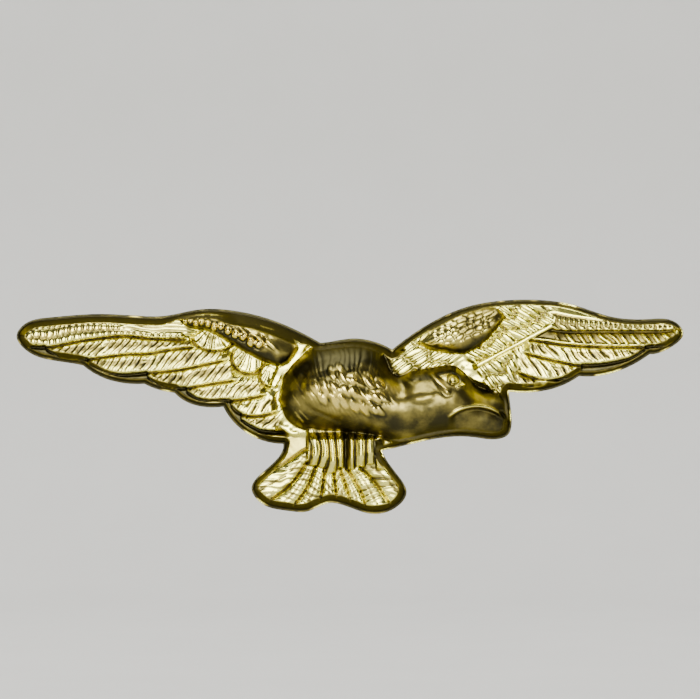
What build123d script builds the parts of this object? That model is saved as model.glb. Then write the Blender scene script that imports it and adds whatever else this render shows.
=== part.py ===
from build123d import *
import math
import os

# Cap badge: a spread eagle struck from sheet metal, hollow at the back, with two
# wire lugs brazed inside the hollow and a split pin through both lugs.
#
# Frame: the badge is upright as it is worn. +Z is up, the eagle faces -Y, and the
# trimmed rim that lies against the cap is the plane y = 0. The origin is on that
# plane, midway between the lugs. "Depth" below means distance in front of the rim.
# Behind the rim are the cap's cloth and then the split pin.

# ---------------------------------------------------------------- overall sizes
WING_SPAN = 60.0          # tip to tip, along X
BADGE_HEIGHT = 19.2       # top of the wings to the bottom of the tail, along Z
DRAWN_SPAN = 60.0         # span at which the outline points below are drawn
DRAWN_HEIGHT = 19.2       # height at which the outline points below are drawn
EAGLE_RISE = 0.4          # the drawn outline's zero level above the lugs' axis

# ---------------------------------------------------------------- struck sheet
WALL = 0.9                # thickness of the struck sheet
FIELD_DEPTH = 1.9         # front of the wings and tail between the raised feathers
FEATHER_LIFT = 0.45       # a wing feather above the field, at the lowest feather
FEATHER_STEP = 0.10       # each feather further up the wing lies this much higher
FEATHER_INSET = 0.15      # clear gap between neighbouring feathers' drawn edges
TAIL_LIFT = 0.5           # tail feathers above the field
BODY_DEPTH = 6.8          # highest point of the breast
HEAD_DEPTH = 6.2          # highest point of the head
BEAK_DEPTH = 4.4          # height of the beak near its tip
SHOULDER_LIFT = 2.0       # rise of the shoulder coverts above the field
BODY_INSET = 0.3          # body and head walls stand this far inside the trimmed rim
BODY_ROOT = 0.2           # the body is drawn this far behind the rim, then trimmed there

# ---------------------------------------------------------------- lugs and braze
LUG_SPACING = 24.0        # between the two lugs, along X
LUG_WIRE = 1.3            # diameter of the lug wire
CLOTH_GAP = 2.4           # room for the cap cloth between the rim and the pin
BRAZE_WIDTH = 0.6         # spread of the braze around each foot
BRAZE_HEIGHT = 0.8        # how far the braze climbs the foot
BRAZE_BELLY = 0.3         # how far out its middle is, as a share: 0.5 would be a flat cone
BRAZE_CLEARANCE = 0.15    # the hollow is opened out this far around the braze

# ---------------------------------------------------------------- split pin
PIN_DIAMETER = 1.6        # over both legs
PIN_GAP = 0.10            # between the flat sides of the legs at the neck
PIN_SPREAD = 0.12         # how far each leg tip has sprung outwards
PIN_PLAY = 0.08           # between a sprung leg and the side of the lug's eye
PIN_EYE_RADIUS = 1.4      # inside radius of the pin's eye
PIN_NECK_RADIUS = 1.3     # bend between a leg and the eye
PIN_OVERHANG = 4.5        # long leg past the far lug
PIN_LEG_STEP = 2.0        # the short leg stops this much earlier
PIN_NECK_STAND = 1.5      # neck bend starts this far outside the near lug

# ---------------------------------------------------------------- derived places
CAVITY_DEPTH = FIELD_DEPTH - WALL
PIN_RADIUS = PIN_DIAMETER / 2
PIN_AXIS_Y = CLOTH_GAP + PIN_RADIUS
LUG_EYE = PIN_DIAMETER + PIN_GAP + 2 * PIN_SPREAD + 2 * PIN_PLAY
LUG_BEND = (LUG_EYE + LUG_WIRE) / 2
FRONT = Plane.XZ          # sketches on it are (x, z); extruding goes towards -Y


def at(x, z):
    """An outline point as drawn, stretched to the badge's real span and height."""
    return (x * WING_SPAN / DRAWN_SPAN, z * BADGE_HEIGHT / DRAWN_HEIGHT + EAGLE_RISE)


# The trimmed outline runs from corner to corner, starting at the back of the neck and
# going along the left wing's leading edge first. Left and right are the viewer's.
# Each stretch is one smooth curve; a corner is where two feather tips or limbs meet.
OUTLINE = [
    # left wing: leading edge, tip and the first two primaries
    [(-2.65, 1.1), (-4.5, 2.1), (-7.1, 3.2), (-10.1, 3.95), (-14.0, 4.05), (-16.5, 3.55),
     (-19.3, 3.55), (-22.6, 3.7), (-27.0, 3.4), (-29.4, 2.7), (-30.0, 1.75), (-29.3, 0.55),
     (-27.0, -0.45), (-24.0, -0.95)],
    # left wing: third to seventh feather tips
    [(-24.0, -0.95), (-22.2, -2.05), (-20.6, -2.5), (-18.5, -2.6)],
    [(-18.5, -2.6), (-17.3, -3.1), (-15.8, -3.4)],
    [(-15.8, -3.4), (-14.3, -4.4), (-12.9, -4.7), (-11.4, -4.65)],
    [(-11.4, -4.65), (-10.0, -6.5), (-8.4, -7.5), (-6.0, -8.0)],
    # tail: left edge, two lobes, right edge
    [(-6.0, -8.0), (-7.45, -10.2), (-8.85, -12.1), (-8.1, -13.25), (-5.4, -14.05),
     (-3.9, -14.1), (-2.5, -13.5), (-1.6, -13.3)],
    [(-1.6, -13.3), (-0.2, -13.65), (1.6, -14.25), (4.1, -13.75), (5.1, -12.3),
     (4.6, -11.2), (3.6, -9.9), (2.9, -8.6)],
    # throat, beak and brow, out in front of the right wing
    [(2.9, -8.6), (5.1, -8.1), (7.9, -7.5), (11.1, -7.4), (13.0, -7.6), (14.2, -7.2),
     (14.55, -5.8), (14.3, -3.3)],
    # right wing: feather tips from the head outwards
    [(14.3, -3.3), (17.3, -3.25), (19.2, -2.7), (20.6, -1.9)],
    [(20.6, -1.9), (23.1, -1.75), (25.1, -1.05), (27.0, 0.1)],
    # right wing: tip and leading edge back to the neck
    [(27.0, 0.1), (29.2, 0.9), (30.0, 2.0), (29.3, 2.95), (27.0, 3.25), (23.1, 3.55),
     (20.5, 4.4), (17.3, 4.95), (14.3, 4.95), (10.7, 4.4), (7.6, 3.1), (3.8, 0.5)],
    # back of the neck
    [(3.8, 0.5), (1.9, 1.3), (0.2, 1.5), (-1.8, 1.2), (-2.65, 1.1)],
]

# Feathers struck above the field: root, tip, half width, sideways bow of the middle.
# Each wing is listed from its lowest feather to its leading primary.
LEFT_FEATHERS = [
    ((-5.9, -5.2), (-9.6, -5.9), 0.60, -0.15),
    ((-6.0, -4.1), (-10.5, -4.6), 0.62, -0.20),
    ((-7.4, -2.7), (-14.3, -3.4), 0.62, 0.00),
    ((-11.3, -1.0), (-17.7, -2.1), 0.66, -0.15),
    ((-12.2, 0.1), (-22.9, -1.1), 0.66, 0.10),
    ((-14.0, 1.1), (-26.6, 0.5), 0.62, 0.00),
    ((-14.9, 2.5), (-29.1, 1.75), 0.62, 0.20),
]
RIGHT_FEATHERS = [
    ((13.6, -0.9), (16.2, -2.4), 0.55, 0.00),
    ((14.9, -0.2), (19.8, -1.7), 0.60, 0.15),
    ((15.9, 0.7), (25.6, 0.1), 0.60, -0.10),
    ((16.4, 1.8), (28.6, 1.5), 0.50, -0.05),
    ((17.6, 3.1), (28.9, 2.4), 0.40, -0.05),
]
TAIL_FEATHERS = [
    ((-5.2, -8.6), (-7.9, -12.1), 0.50, 0.0),
    ((-4.3, -9.1), (-6.6, -12.9), 0.50, 0.0),
    ((-3.2, -9.5), (-5.0, -13.3), 0.50, 0.0),
    ((-2.2, -10.0), (-3.3, -13.1), 0.48, 0.0),
    ((-1.2, -10.1), (-0.1, -12.9), 0.48, 0.0),
    ((-0.3, -9.8), (1.4, -13.3), 0.50, 0.0),
    ((0.7, -9.3), (3.0, -13.1), 0.50, 0.0),
    ((1.8, -8.9), (4.2, -12.1), 0.48, 0.0),
]

# Cross-sections of the breast, neck and head from left to right, as drawn: x, the top
# and bottom of the body there, and its height as a share of the body's or head's depth.
BODY_SECTIONS = [
    (-6.1, -2.6, -5.0, 0.30),
    (-5.3, -1.0, -6.2, 0.62),
    (-3.1, 1.0, -7.1, 0.90),
    (0.0, 1.5, -7.4, 1.00),
    (3.1, 0.4, -8.2, 0.98),
]
HEAD_SECTIONS = [
    (5.6, -1.2, -7.9, 1.00),
    (8.8, -0.7, -7.4, 1.00),
    (11.4, -2.4, -7.4, 0.88),
]
BEAK_SECTIONS = [
    (13.3, -3.3, -7.5, 1.00),
    (14.3, -4.4, -7.0, 0.60),
]

# Rounded swellings: centre, half length, half width and tilt in degrees.
SHOULDERS = [
    ((-9.6, 1.6), 5.6, 1.25, -17.0),
    ((9.9, 2.2), 4.0, 1.45, 21.0),
]
THIGHS = ((-0.6, -8.4), 3.6, 1.7, 0.0)
THIGH_LIFT = 1.2


def depth(amount):
    """A move of this much from the rim plane towards the front."""
    return Location((0, -amount, 0))


def outline_face():
    """The whole badge inside its trimmed edge, on the rim plane."""
    edges = [FRONT * Spline(*[at(*point) for point in stretch]) for stretch in OUTLINE]
    return make_face(edges)


def feather(root, tip, half_width, bow, lift):
    """One raised feather: a narrow leaf, blunt at its root and round at its tip."""
    (x0, z0), (x1, z1) = at(*root), at(*tip)
    length = math.hypot(x1 - x0, z1 - z0)
    along = ((x1 - x0) / length, (z1 - z0) / length)
    side = (-along[1], along[0])
    half = half_width - FEATHER_INSET / 2

    def leaf(share, across):
        bend = 4 * bow * share * (1 - share)
        off = across * half + bend
        return (x0 + along[0] * length * share + side[0] * off,
                z0 + along[1] * length * share + side[1] * off)

    edge = [(0, 0.5), (0.45, 0.95), (0.8, 0.9), (1, 0), (0.8, -0.9), (0.45, -0.95), (0, -0.5)]
    points = [leaf(*place) for place in edge]
    outline = Spline(*points) + Line(points[-1], points[0])
    buried = WALL / 2
    return depth(FIELD_DEPTH - buried) * extrude(FRONT * make_face(outline), buried + lift)


def swelling(centre, half_length, half_width, tilt, lift):
    """A half-buried ellipsoid standing 'lift' above the field."""
    x, z = at(*centre)
    ball = scale(Sphere(1), by=(half_length, lift, half_width))
    return Pos(x, -FIELD_DEPTH, z) * Rot(0, -tilt, 0) * ball


def body_sections():
    """Every section of the body as x, middle z, half width and depth."""
    graded = [(section, BODY_DEPTH) for section in BODY_SECTIONS]
    graded += [(section, HEAD_DEPTH) for section in HEAD_SECTIONS]
    graded += [(section, BEAK_DEPTH) for section in BEAK_SECTIONS]
    found = []
    for (x, top, bottom, share), full in graded:
        (x, top), (_, bottom) = at(x, top), at(x, bottom)
        found.append((x, (top + bottom) / 2, (top - bottom) / 2 - BODY_INSET, full * share))
    return found


def dome(x, middle, half_width, height, below):
    """A half-ellipse across the body at x, with straight sides to 'below' behind it."""
    plane = Plane(origin=(x, 0, 0), x_dir=(0, 0, 1), z_dir=(1, 0, 0))
    left, right = middle - half_width, middle + half_width
    arc = EllipticalCenterArc((middle, 0), half_width, height, start_angle=0, arc_size=180)
    sides = Polyline((left, 0), (left, -below), (right, -below), (right, 0))
    return plane * make_face(arc + sides)


def body():
    """Breast, neck, head and beak as one smooth swelling."""
    sections = [dome(x, middle, half, height, BODY_ROOT)
                for x, middle, half, height in body_sections()]
    return split(loft(sections), Plane.XZ, keep=Keep.TOP)


def body_hollow():
    """The hollow behind the body, one wall thickness inside it."""
    sections = []
    for x, middle, half, height in body_sections()[1:-1]:
        sections.append(dome(x, middle, half - WALL, height - WALL, WALL))
    return loft(sections)


def field_hollow():
    """The shallow hollow behind the wings and tail, inside a straight-sided outline."""
    corners = [at(*point) for stretch in OUTLINE for point in stretch[:-1]]
    inside = offset(FRONT * make_face(Polyline(*corners, close=True)), amount=-WALL)
    return depth(-WALL) * extrude(inside, WALL + CAVITY_DEPTH)


def lug_seats():
    """Room in the hollow for each lug foot and its braze."""
    radius = LUG_WIRE / 2 + BRAZE_WIDTH + BRAZE_CLEARANCE
    places = [(x * LUG_SPACING / 2, z * LUG_BEND) for x in (-1, 1) for z in (-1, 1)]
    rounds = [FRONT * Pos(x, z) * Circle(radius) for x, z in places]
    return [extrude(face, CAVITY_DEPTH) for face in rounds]


def eagle_shell():
    """The struck eagle: field, raised feathers, shoulders, thighs and body, hollowed."""
    shell = extrude(outline_face(), FIELD_DEPTH)
    for feathers in (LEFT_FEATHERS, RIGHT_FEATHERS):
        for number, drawn in enumerate(feathers):
            shell += feather(*drawn, FEATHER_LIFT + FEATHER_STEP * number)
    for number, drawn in enumerate(TAIL_FEATHERS):
        shell += feather(*drawn, TAIL_LIFT)
    for drawn in SHOULDERS:
        shell += swelling(*drawn, SHOULDER_LIFT)
    shell += swelling(*THIGHS, THIGH_LIFT)
    shell += body()
    return shell - field_hollow() - body_hollow() - lug_seats()


def lug(x):
    """A wire loop standing out of the hollow, its eye on the pin's axis."""
    foot = (x, -CAVITY_DEPTH, LUG_BEND)
    high = (x, PIN_AXIS_Y, LUG_BEND)
    crown = (x, PIN_AXIS_Y + LUG_BEND, 0)
    low = (x, PIN_AXIS_Y, -LUG_BEND)
    other_foot = (x, -CAVITY_DEPTH, -LUG_BEND)
    path = Line(foot, high) + ThreePointArc(high, crown, low) + Line(low, other_foot)
    section = Plane(origin=foot, z_dir=(0, 1, 0)) * Circle(LUG_WIRE / 2)
    return sweep(section, path=path)


def braze(x):
    """The concave fillet of braze round each of a lug's two feet."""
    wire = LUG_WIRE / 2
    reach = wire + BRAZE_WIDTH
    hollow = ThreePointArc(
        (reach, 0),
        (wire + BRAZE_WIDTH * BRAZE_BELLY, BRAZE_HEIGHT * BRAZE_BELLY),
        (wire, BRAZE_HEIGHT),
    )
    outline = hollow + Polyline((wire, BRAZE_HEIGHT), (wire, 0), (reach, 0))
    ring = revolve(Plane.XY * make_face(outline), Axis.Y)
    return Compound([Pos(x, -CAVITY_DEPTH, side * LUG_BEND) * ring.solid() for side in (1, -1)])


def split_pin():
    """Half-round wire folded into an eye and two legs, lying along X."""
    neck_x = LUG_SPACING / 2 + LUG_WIRE / 2 + PIN_NECK_STAND
    tip_x = -(LUG_SPACING / 2 + LUG_WIRE / 2 + PIN_OVERHANG)
    lean = math.asin(PIN_SPREAD / (neck_x - tip_x))
    neck = (neck_x, PIN_GAP / 2)
    bend = (neck_x + PIN_NECK_RADIUS * math.sin(lean),
            PIN_GAP / 2 + PIN_NECK_RADIUS * math.cos(lean))
    reach = PIN_NECK_RADIUS + PIN_EYE_RADIUS
    eye_x = bend[0] + math.sqrt(reach**2 - bend[1] ** 2)
    meet = (bend[0] + (eye_x - bend[0]) * PIN_NECK_RADIUS / reach,
            bend[1] * PIN_EYE_RADIUS / reach)
    down = math.atan2(meet[1] - bend[1], meet[0] - bend[0])
    start = math.atan2(neck[1] - bend[1], neck[0] - bend[0])
    middle = (start + down) / 2
    bend_middle = (bend[0] + PIN_NECK_RADIUS * math.cos(middle),
                   bend[1] + PIN_NECK_RADIUS * math.sin(middle))
    far = (eye_x + PIN_EYE_RADIUS, 0)

    def leg(length_cut, side):
        run = neck_x - tip_x - length_cut
        tip = (neck_x - run * math.cos(lean), neck[1] + run * math.sin(lean))
        points = [tip, neck, bend_middle, meet]
        return [(x, side * z) for x, z in points]

    long_tip, upper_neck, upper_bend, upper_meet = leg(0, 1)
    short_tip, lower_neck, lower_bend, lower_meet = leg(PIN_LEG_STEP, -1)
    path = Line(long_tip, upper_neck) + ThreePointArc(upper_neck, upper_bend, upper_meet)
    path += ThreePointArc(upper_meet, far, lower_meet)
    path += ThreePointArc(lower_meet, lower_bend, lower_neck) + Line(lower_neck, short_tip)
    leg_plane = Plane(origin=(long_tip[0], 0, long_tip[1]),
                      x_dir=(math.sin(lean), 0, math.cos(lean)),
                      z_dir=(math.cos(lean), 0, -math.sin(lean)))
    half_round = make_face(
        CenterArc((0, 0), PIN_RADIUS, -90, 180) + Line((0, -PIN_RADIUS), (0, PIN_RADIUS)))
    wire = sweep(leg_plane * half_round, path=FRONT * path)
    return Pos(0, PIN_AXIS_Y, 0) * wire


def main():
    """Build every piece and write one STEP file for each."""
    os.makedirs("parts", exist_ok=True)
    lug_x = LUG_SPACING / 2
    pieces = {
        "eagle_shell": eagle_shell(),
        "lug_left": lug(-lug_x),
        "lug_right": lug(lug_x),
        "braze_left": braze(-lug_x),
        "braze_right": braze(lug_x),
        "split_pin": split_pin(),
    }
    for name, piece in pieces.items():
        export_step(piece, f"parts/{name}.step")


main()
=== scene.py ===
"""Dresses a cap badge: a struck spread eagle, two wire lugs, their braze and a split pin.

The eagle is drawn in millimetres on its own face: x to the viewer's right, z up from the
level line through its breast, and height forwards from the rim that lies on the cap. The
relief is cut as a height map, as a die is, and the map is then stretched over a closed
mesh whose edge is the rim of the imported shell.
"""

import logging
import math
from dataclasses import dataclass, field
from enum import Enum

import bpy
import numpy as np
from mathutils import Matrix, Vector
from mathutils.geometry import delaunay_2d_cdt


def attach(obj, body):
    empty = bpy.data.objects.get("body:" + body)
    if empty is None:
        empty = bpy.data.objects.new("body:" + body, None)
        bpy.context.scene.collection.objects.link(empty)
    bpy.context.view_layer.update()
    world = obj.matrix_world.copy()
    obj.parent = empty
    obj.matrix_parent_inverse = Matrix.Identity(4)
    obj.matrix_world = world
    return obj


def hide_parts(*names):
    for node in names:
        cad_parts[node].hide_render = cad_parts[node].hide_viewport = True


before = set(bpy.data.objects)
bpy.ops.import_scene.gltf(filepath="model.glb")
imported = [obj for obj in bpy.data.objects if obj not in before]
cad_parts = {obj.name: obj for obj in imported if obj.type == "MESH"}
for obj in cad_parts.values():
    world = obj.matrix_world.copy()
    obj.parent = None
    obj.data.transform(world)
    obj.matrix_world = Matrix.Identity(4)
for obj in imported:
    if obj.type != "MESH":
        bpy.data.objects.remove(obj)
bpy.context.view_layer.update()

LOG = logging.getLogger("cap_badge")
MM = 0.001
Points = tuple[tuple[float, float], ...]
Place = tuple[float, float, float]
Colour = tuple[float, float, float]
Array = np.ndarray


# ---------------------------------------------------------------- shaping curves
def ease(value: Array, low: float, high: float) -> Array:
    """Rises smoothly from 0 at low to 1 at high, or falls if low is the higher."""
    share = np.clip((value - low) / (high - low), 0.0, 1.0)
    return share * share * (3.0 - 2.0 * share)


def hill(value: Array, width: float) -> Array:
    """A rounded ridge: 1 where value is 0, and near 0 beyond twice the width."""
    return np.exp(-((value / width) ** 2))


def through(points: Points, x: Array) -> tuple[Array, Array]:
    """Runs one smooth line through points, from left to right.

    Args:
        points: places on the line, in any order of x.
        x: where the line is wanted. Beyond its ends the line goes on level.

    Returns:
        The line's z at each x, and its slope there.
    """
    knots = np.array(sorted(points), float)
    kx, kz = knots[:, 0], knots[:, 1]
    slopes = np.gradient(kz, kx)
    inside = np.clip(x, kx[0], kx[-1])
    i = np.clip(np.searchsorted(kx, inside, side="right") - 1, 0, len(kx) - 2)
    run = kx[i + 1] - kx[i]
    t = (inside - kx[i]) / run
    z = (
        kz[i] * (1 + 2 * t) * (1 - t) ** 2
        + kz[i + 1] * t * t * (3 - 2 * t)
        + run * slopes[i] * t * (1 - t) ** 2
        + run * slopes[i + 1] * t * t * (t - 1)
    )
    steep = (
        6 * t * (1 - t) * (kz[i + 1] - kz[i]) / run
        + slopes[i] * (1 - t) * (1 - 3 * t)
        + slopes[i + 1] * t * (3 * t - 2)
    )
    return z, steep


def blurred(values: Array, cells: float) -> Array:
    """Softens a map with a bell-shaped blur.

    Args:
        values: the map.
        cells: the blur's spread, in cells of the map.

    Returns:
        The softened map, the same size.
    """
    reach = int(math.ceil(3 * cells))
    bell = np.exp(-0.5 * (np.arange(-reach, reach + 1) / cells) ** 2)
    bell /= bell.sum()
    for axis in (0, 1):
        pad = [(reach, reach) if a == axis else (0, 0) for a in (0, 1)]
        grown = np.pad(values, pad, mode="edge")
        count = values.shape[axis]
        values = sum(
            weight * np.take(grown, range(k, k + count), axis=axis)
            for k, weight in enumerate(bell)
        )
    return values


def drafted(values: Array, slope: float, step: float, rounds: int) -> Array:
    """Lowers a map wherever it rises more steeply than a die could let go of.

    Args:
        values: the map.
        slope: the steepest rise for each unit along.
        step: the map's step.
        rounds: how many steps a slope may run down.

    Returns:
        The lowered map.
    """
    for _ in range(rounds):
        for down, along in ((0, 1), (1, 0), (1, 1), (1, -1)):
            rise = slope * step * math.hypot(down, along)
            for sign in (1, -1):
                beside = np.roll(values, (sign * down, sign * along), (0, 1))
                values = np.minimum(values, beside + rise)
    return values


@dataclass(frozen=True)
class Grain:
    """Repeatable unevenness: soft random lumps, about one unit across."""

    seed: int
    size: int = 256

    def at(self, u: Array, v: Array) -> Array:
        """Returns the lumps' height, from -1 to 1, at each pair of u and v."""
        table = np.random.default_rng(self.seed).uniform(-1, 1, (self.size, self.size))
        i, j = np.floor(u).astype(int), np.floor(v).astype(int)
        s, t = ease(u - i, 0, 1), ease(v - j, 0, 1)
        i0, j0 = i % self.size, j % self.size
        i1, j1 = (i + 1) % self.size, (j + 1) % self.size
        low = table[i0, j0] * (1 - s) + table[i1, j0] * s
        high = table[i0, j1] * (1 - s) + table[i1, j1] * s
        return low * (1 - t) + high * t


def lumps(u: Array, v: Array, seed: int, jitter: float = 0.25) -> Array:
    """Rows of rounded lumps, each one unit long and wide, with every other row moved half.

    Args:
        u: place along the rows.
        v: place across the rows.
        seed: chooses the unevenness.
        jitter: how far the rows and lumps wander.

    Returns:
        Each place's height on its lump, from 0 between lumps to 1 on top.
    """
    v = v + jitter * Grain(seed).at(u / 1.9, v / 1.7)
    row = np.floor(v)
    u = u + 0.5 * (row % 2) + jitter * Grain(seed + 1).at(u / 1.3 + 9.3 * row, v / 1.5)
    over, along = np.abs(2 * (v - row) - 1), np.abs(2 * (u % 1) - 1)
    return np.sqrt(np.clip(1 - (over**2.6 + along**2.6), 0, 1))


def chance(number: Array, seed: float) -> Array:
    """Returns a settled random share, from 0 to 1, for each whole number."""
    return np.abs(np.sin(number * 12.9898 + seed) * 43758.5453) % 1


# ---------------------------------------------------------------- the die
BED_LEVEL = 1.15      # the ground under the feathers, above the rim
FIELD_LEVEL = 2.0     # flat metal between the wings and the body
LIP_WIDTH = 0.2       # the trimmed flange that runs round the eagle
LIP_HEIGHT = 0.36     # its height at the trimmed edge


class Die:
    """The relief as height maps on a square grid, in drawn millimetres.

    height is the metal's front. The darkness layer says how dark the metal is drawn: 0 is bright
    gilt and 1 is the olive brown of grooves and walls. It holds random wear and some patina, but
    mostly painted shade in grooves, creases, walls and on the body's flanks, and painted
    highlights where it is lowered on ridges and crests. bronze is the pinker tone of the raised
    body.
    """

    LOW = (-31.0, -15.2)
    HIGH = (31.0, 6.0)
    STEP = 0.06
    REACH = 2.0

    def __init__(self, outline: Array) -> None:
        """Lays out the grid and finds how far each cell is inside the outline.

        Args:
            outline: the trimmed edge as a closed loop of points.
        """
        xs = np.arange(self.LOW[0], self.HIGH[0], self.STEP)
        zs = np.arange(self.LOW[1], self.HIGH[1], self.STEP)
        self.x, self.z = np.meshgrid(xs, zs)
        self.height = np.full(self.x.shape, BED_LEVEL)
        self.age = np.ones(self.x.shape)
        self.bronze = np.zeros(self.x.shape)
        self.edge = self.distance_to(outline, closed=True)
        self.inside = self.within(outline)

    def distance_to(self, line: Array | Points, closed: bool = False) -> Array:
        """Returns each cell's distance to a line of points, up to about REACH."""
        points = np.array(line, float)
        found = np.full(self.x.shape, self.REACH)
        count = len(points) if closed else len(points) - 1
        for a, b in zip(points[:count], np.roll(points, -1, axis=0)):
            window = self.window(np.minimum(a, b) - self.REACH, np.maximum(a, b) + self.REACH)
            px, pz = self.x[window] - a[0], self.z[window] - a[1]
            dx, dz = b - a
            t = np.clip((px * dx + pz * dz) / max(dx * dx + dz * dz, 1e-12), 0, 1)
            near = np.hypot(px - t * dx, pz - t * dz)
            found[window] = np.minimum(found[window], near)
        return found

    def window(self, low: Array, high: Array) -> tuple[slice, slice]:
        """Returns the part of the grid between two corners."""
        i0, i1 = ((v[0] - self.LOW[0]) / self.STEP for v in (low, high))
        j0, j1 = ((v[1] - self.LOW[1]) / self.STEP for v in (low, high))
        return (slice(max(0, int(j0)), max(0, int(j1) + 2)),
                slice(max(0, int(i0)), max(0, int(i1) + 2)))

    def within(self, loop: Array) -> Array:
        """Returns which cells are inside a closed loop of points."""
        inside = np.zeros(self.x.shape, bool)
        for a, b in zip(loop, np.roll(loop, -1, axis=0)):
            rows = (a[1] > self.z[:, 0]) != (b[1] > self.z[:, 0])
            cut = a[0] + (self.z[rows, 0] - a[1]) * (b[0] - a[0]) / (b[1] - a[1])
            inside[rows] ^= self.x[rows] < cut[:, None]
        return inside

    def lay(self, shape: Array | float, cover: Array, age: Array | float = 0.0,
            bronze: Array | float = 0.0) -> None:
        """Lays a feature over what is there.

        Args:
            shape: the feature's height at each cell.
            cover: 1 where the feature hides what is below, and 0 outside it.
            age: how dark its own surface is.
            bronze: how pink its own surface is.
        """
        self.height += (shape - self.height) * cover
        self.age += (age - self.age) * cover
        self.bronze += (bronze - self.bronze) * cover

    def read(self, layer: Array, x: Array, z: Array) -> Array:
        """Returns a layer's value between its cells, at each x and z."""
        i = np.clip((x - self.LOW[0]) / self.STEP, 0, layer.shape[1] - 1.001)
        j = np.clip((z - self.LOW[1]) / self.STEP, 0, layer.shape[0] - 1.001)
        i0, j0 = i.astype(int), j.astype(int)
        s, t = i - i0, j - j0
        low = layer[j0, i0] * (1 - s) + layer[j0, i0 + 1] * s
        high = layer[j0 + 1, i0] * (1 - s) + layer[j0 + 1, i0 + 1] * s
        return low * (1 - t) + high * t


class Barbs(Enum):
    """How a feather's vane is cut."""

    STROKES = "slanting strokes with rounded backs"
    SCALES = "rows of small scales"
    SLASHES = "proud slanting bars on a darker ground"
    BEADS = "a beaded shaft under a smooth leading band"


@dataclass(frozen=True)
class Feather:
    """One wing feather, drawn by the line of its lower edge.

    side is -1 on the left wing and 1 on the right, where the tips point the other way.
    pitch and lean are the barbs' spacing and slant, shaft is the shaft's place as a share of
    the width, and fade is how far the feather takes to sink at its root.
    """

    edge: Points
    side: int
    barbs: Barbs = Barbs.STROKES
    level: float = 2.3
    pitch: float = 0.47
    depth: float = 0.1
    lean: float = 50.0
    shaft: float = 0.68
    fade: float = 1.0

    def strike(self, die: Die, above: Points) -> None:
        """Cuts the feather over those below it.

        Args:
            die: the relief to cut.
            above: the lower edge of the next feather up, or the wing's leading edge.
        """
        low, slope = through(self.edge, die.x)
        high, _ = through(above, die.x)
        across = (die.z - low) / np.hypot(1.0, slope)
        share = np.clip(across / np.maximum(high - low, 0.35), 0, 1.3)
        xs = [x for x, _ in self.edge]
        tip, root = (max(xs), min(xs)) if self.side > 0 else (min(xs), max(xs))
        from_tip = (tip - die.x) * self.side
        from_root = (die.x - root) * self.side
        along = ease(from_tip, -0.02, 0.2) * ease(from_root, 0.0, self.fade)
        weight = 0.45 if self.barbs is Barbs.BEADS else 1.0
        groove = weight * hill(across + 0.06, 0.1) * along
        die.height -= 0.36 * groove
        # Painted shade: the groove along the lower edge is drawn dark, with some patina.
        die.age += (1.0 - die.age) * groove
        blade = self.level + 0.12 - 0.3 * share + 0.34 * share * (1 - share)
        relief, dark = self.vane(die, across, share)
        cover = ease(across, 0.0, 0.09) * along
        tan = hill(share - 0.5, 0.28) * ease(Grain(14).at(die.x / 1.6, die.z / 0.8), -0.1, 0.5)
        # The vane's darkness is painted shade in its cut lines and hollows, with random blotches.
        die.lay(blade + relief * ease(across, 0.06, 0.2), cover, np.clip(dark, 0, 1), 0.7 * tan)

    def strokes(self, die: Die, share: Array, pitch: float, seed: float) -> tuple[Array, Array]:
        """Cuts slanting lines of uneven length and weight.

        Args:
            die: the relief, for its places.
            share: the place across the feather.
            pitch: the distance between lines.
            seed: chooses their lengths.

        Returns:
            How deep each place is in a line, and the tilt of the metal between lines.
        """
        lean = math.radians(self.lean) * -self.side
        warp = 0.32 * Grain(11).at(die.x / 1.5 + seed, die.z / 1.1)
        phase = (die.x * math.sin(lean) - die.z * math.cos(lean)) / pitch + warp
        number = np.round(phase)
        off = phase - number
        low, high = 0.45 * chance(number, seed), 1.05 - 0.5 * chance(number, seed + 3)
        weight = 0.45 + 0.55 * chance(number, seed + 7)
        line = hill(off * pitch, 0.075) * weight * ease(share, low, low + 0.15)
        return line * ease(share, high, high - 0.15), off

    def vane(self, die: Die, across: Array, share: Array) -> tuple[Array, Array]:
        """Cuts the barbs.

        Args:
            die: the relief, for its places.
            across: distance above the lower edge.
            share: the same as a share of the feather's width.

        Returns:
            The barbs' relief, and how dark they are drawn: painted shade in the cut lines, between
            the scales and beads and on the ground between the bars, with random blotches.
        """
        blotch = 0.5 + 0.5 * Grain(12).at(die.x / 1.1 + 7, die.z / 0.7)
        if self.barbs is Barbs.SCALES:
            bump = lumps(die.x / self.pitch, share * 2.6, 13)
            return 0.16 * (bump - 0.6), 0.75 * ease(bump, 0.45, 0.05) + 0.15 * blotch
        line, off = self.strokes(die, share, self.pitch, self.level)
        if self.barbs is Barbs.SLASHES:
            bar = ease(np.abs(off), 0.24, 0.12) * ease(share, 0.92, 0.72)
            bar = bar * ease(die.x, 17.5, 20.5)
            rail = ease(across, 0.3, 0.2)
            proud = np.maximum(bar, rail)
            return 0.3 * proud - 0.22, 0.72 - 0.72 * proud
        if self.barbs is Barbs.BEADS:
            bead = ease(np.abs(np.sin(np.pi * die.x / 0.44)), 0.25, 0.8) * hill(share - 0.52, 0.14)
            band = ease(share, 0.74, 0.84)
            lower = ease(np.abs(off), 0.42, 0.2) * ease(share, 0.36, 0.24)
            relief = 0.17 * bead + 0.1 * band + 0.12 * lower - 0.1
            return relief, 0.72 * (1 - np.clip(1.1 * bead + band + lower, 0, 1))
        fine, _ = self.strokes(die, share, self.pitch * 0.47, self.level + 5)
        middle = hill(share - self.shaft * 0.75, 0.24)
        shaft = hill(share - self.shaft, 0.045) * 0.6
        relief = -self.depth * (1.2 * line + 0.6 * fine * middle) + 0.11 * off - 0.05 * shaft
        dark = 0.95 * line + (0.6 * fine + 0.5 * blotch) * middle + 0.5 * shaft * blotch
        return relief, dark


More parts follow.
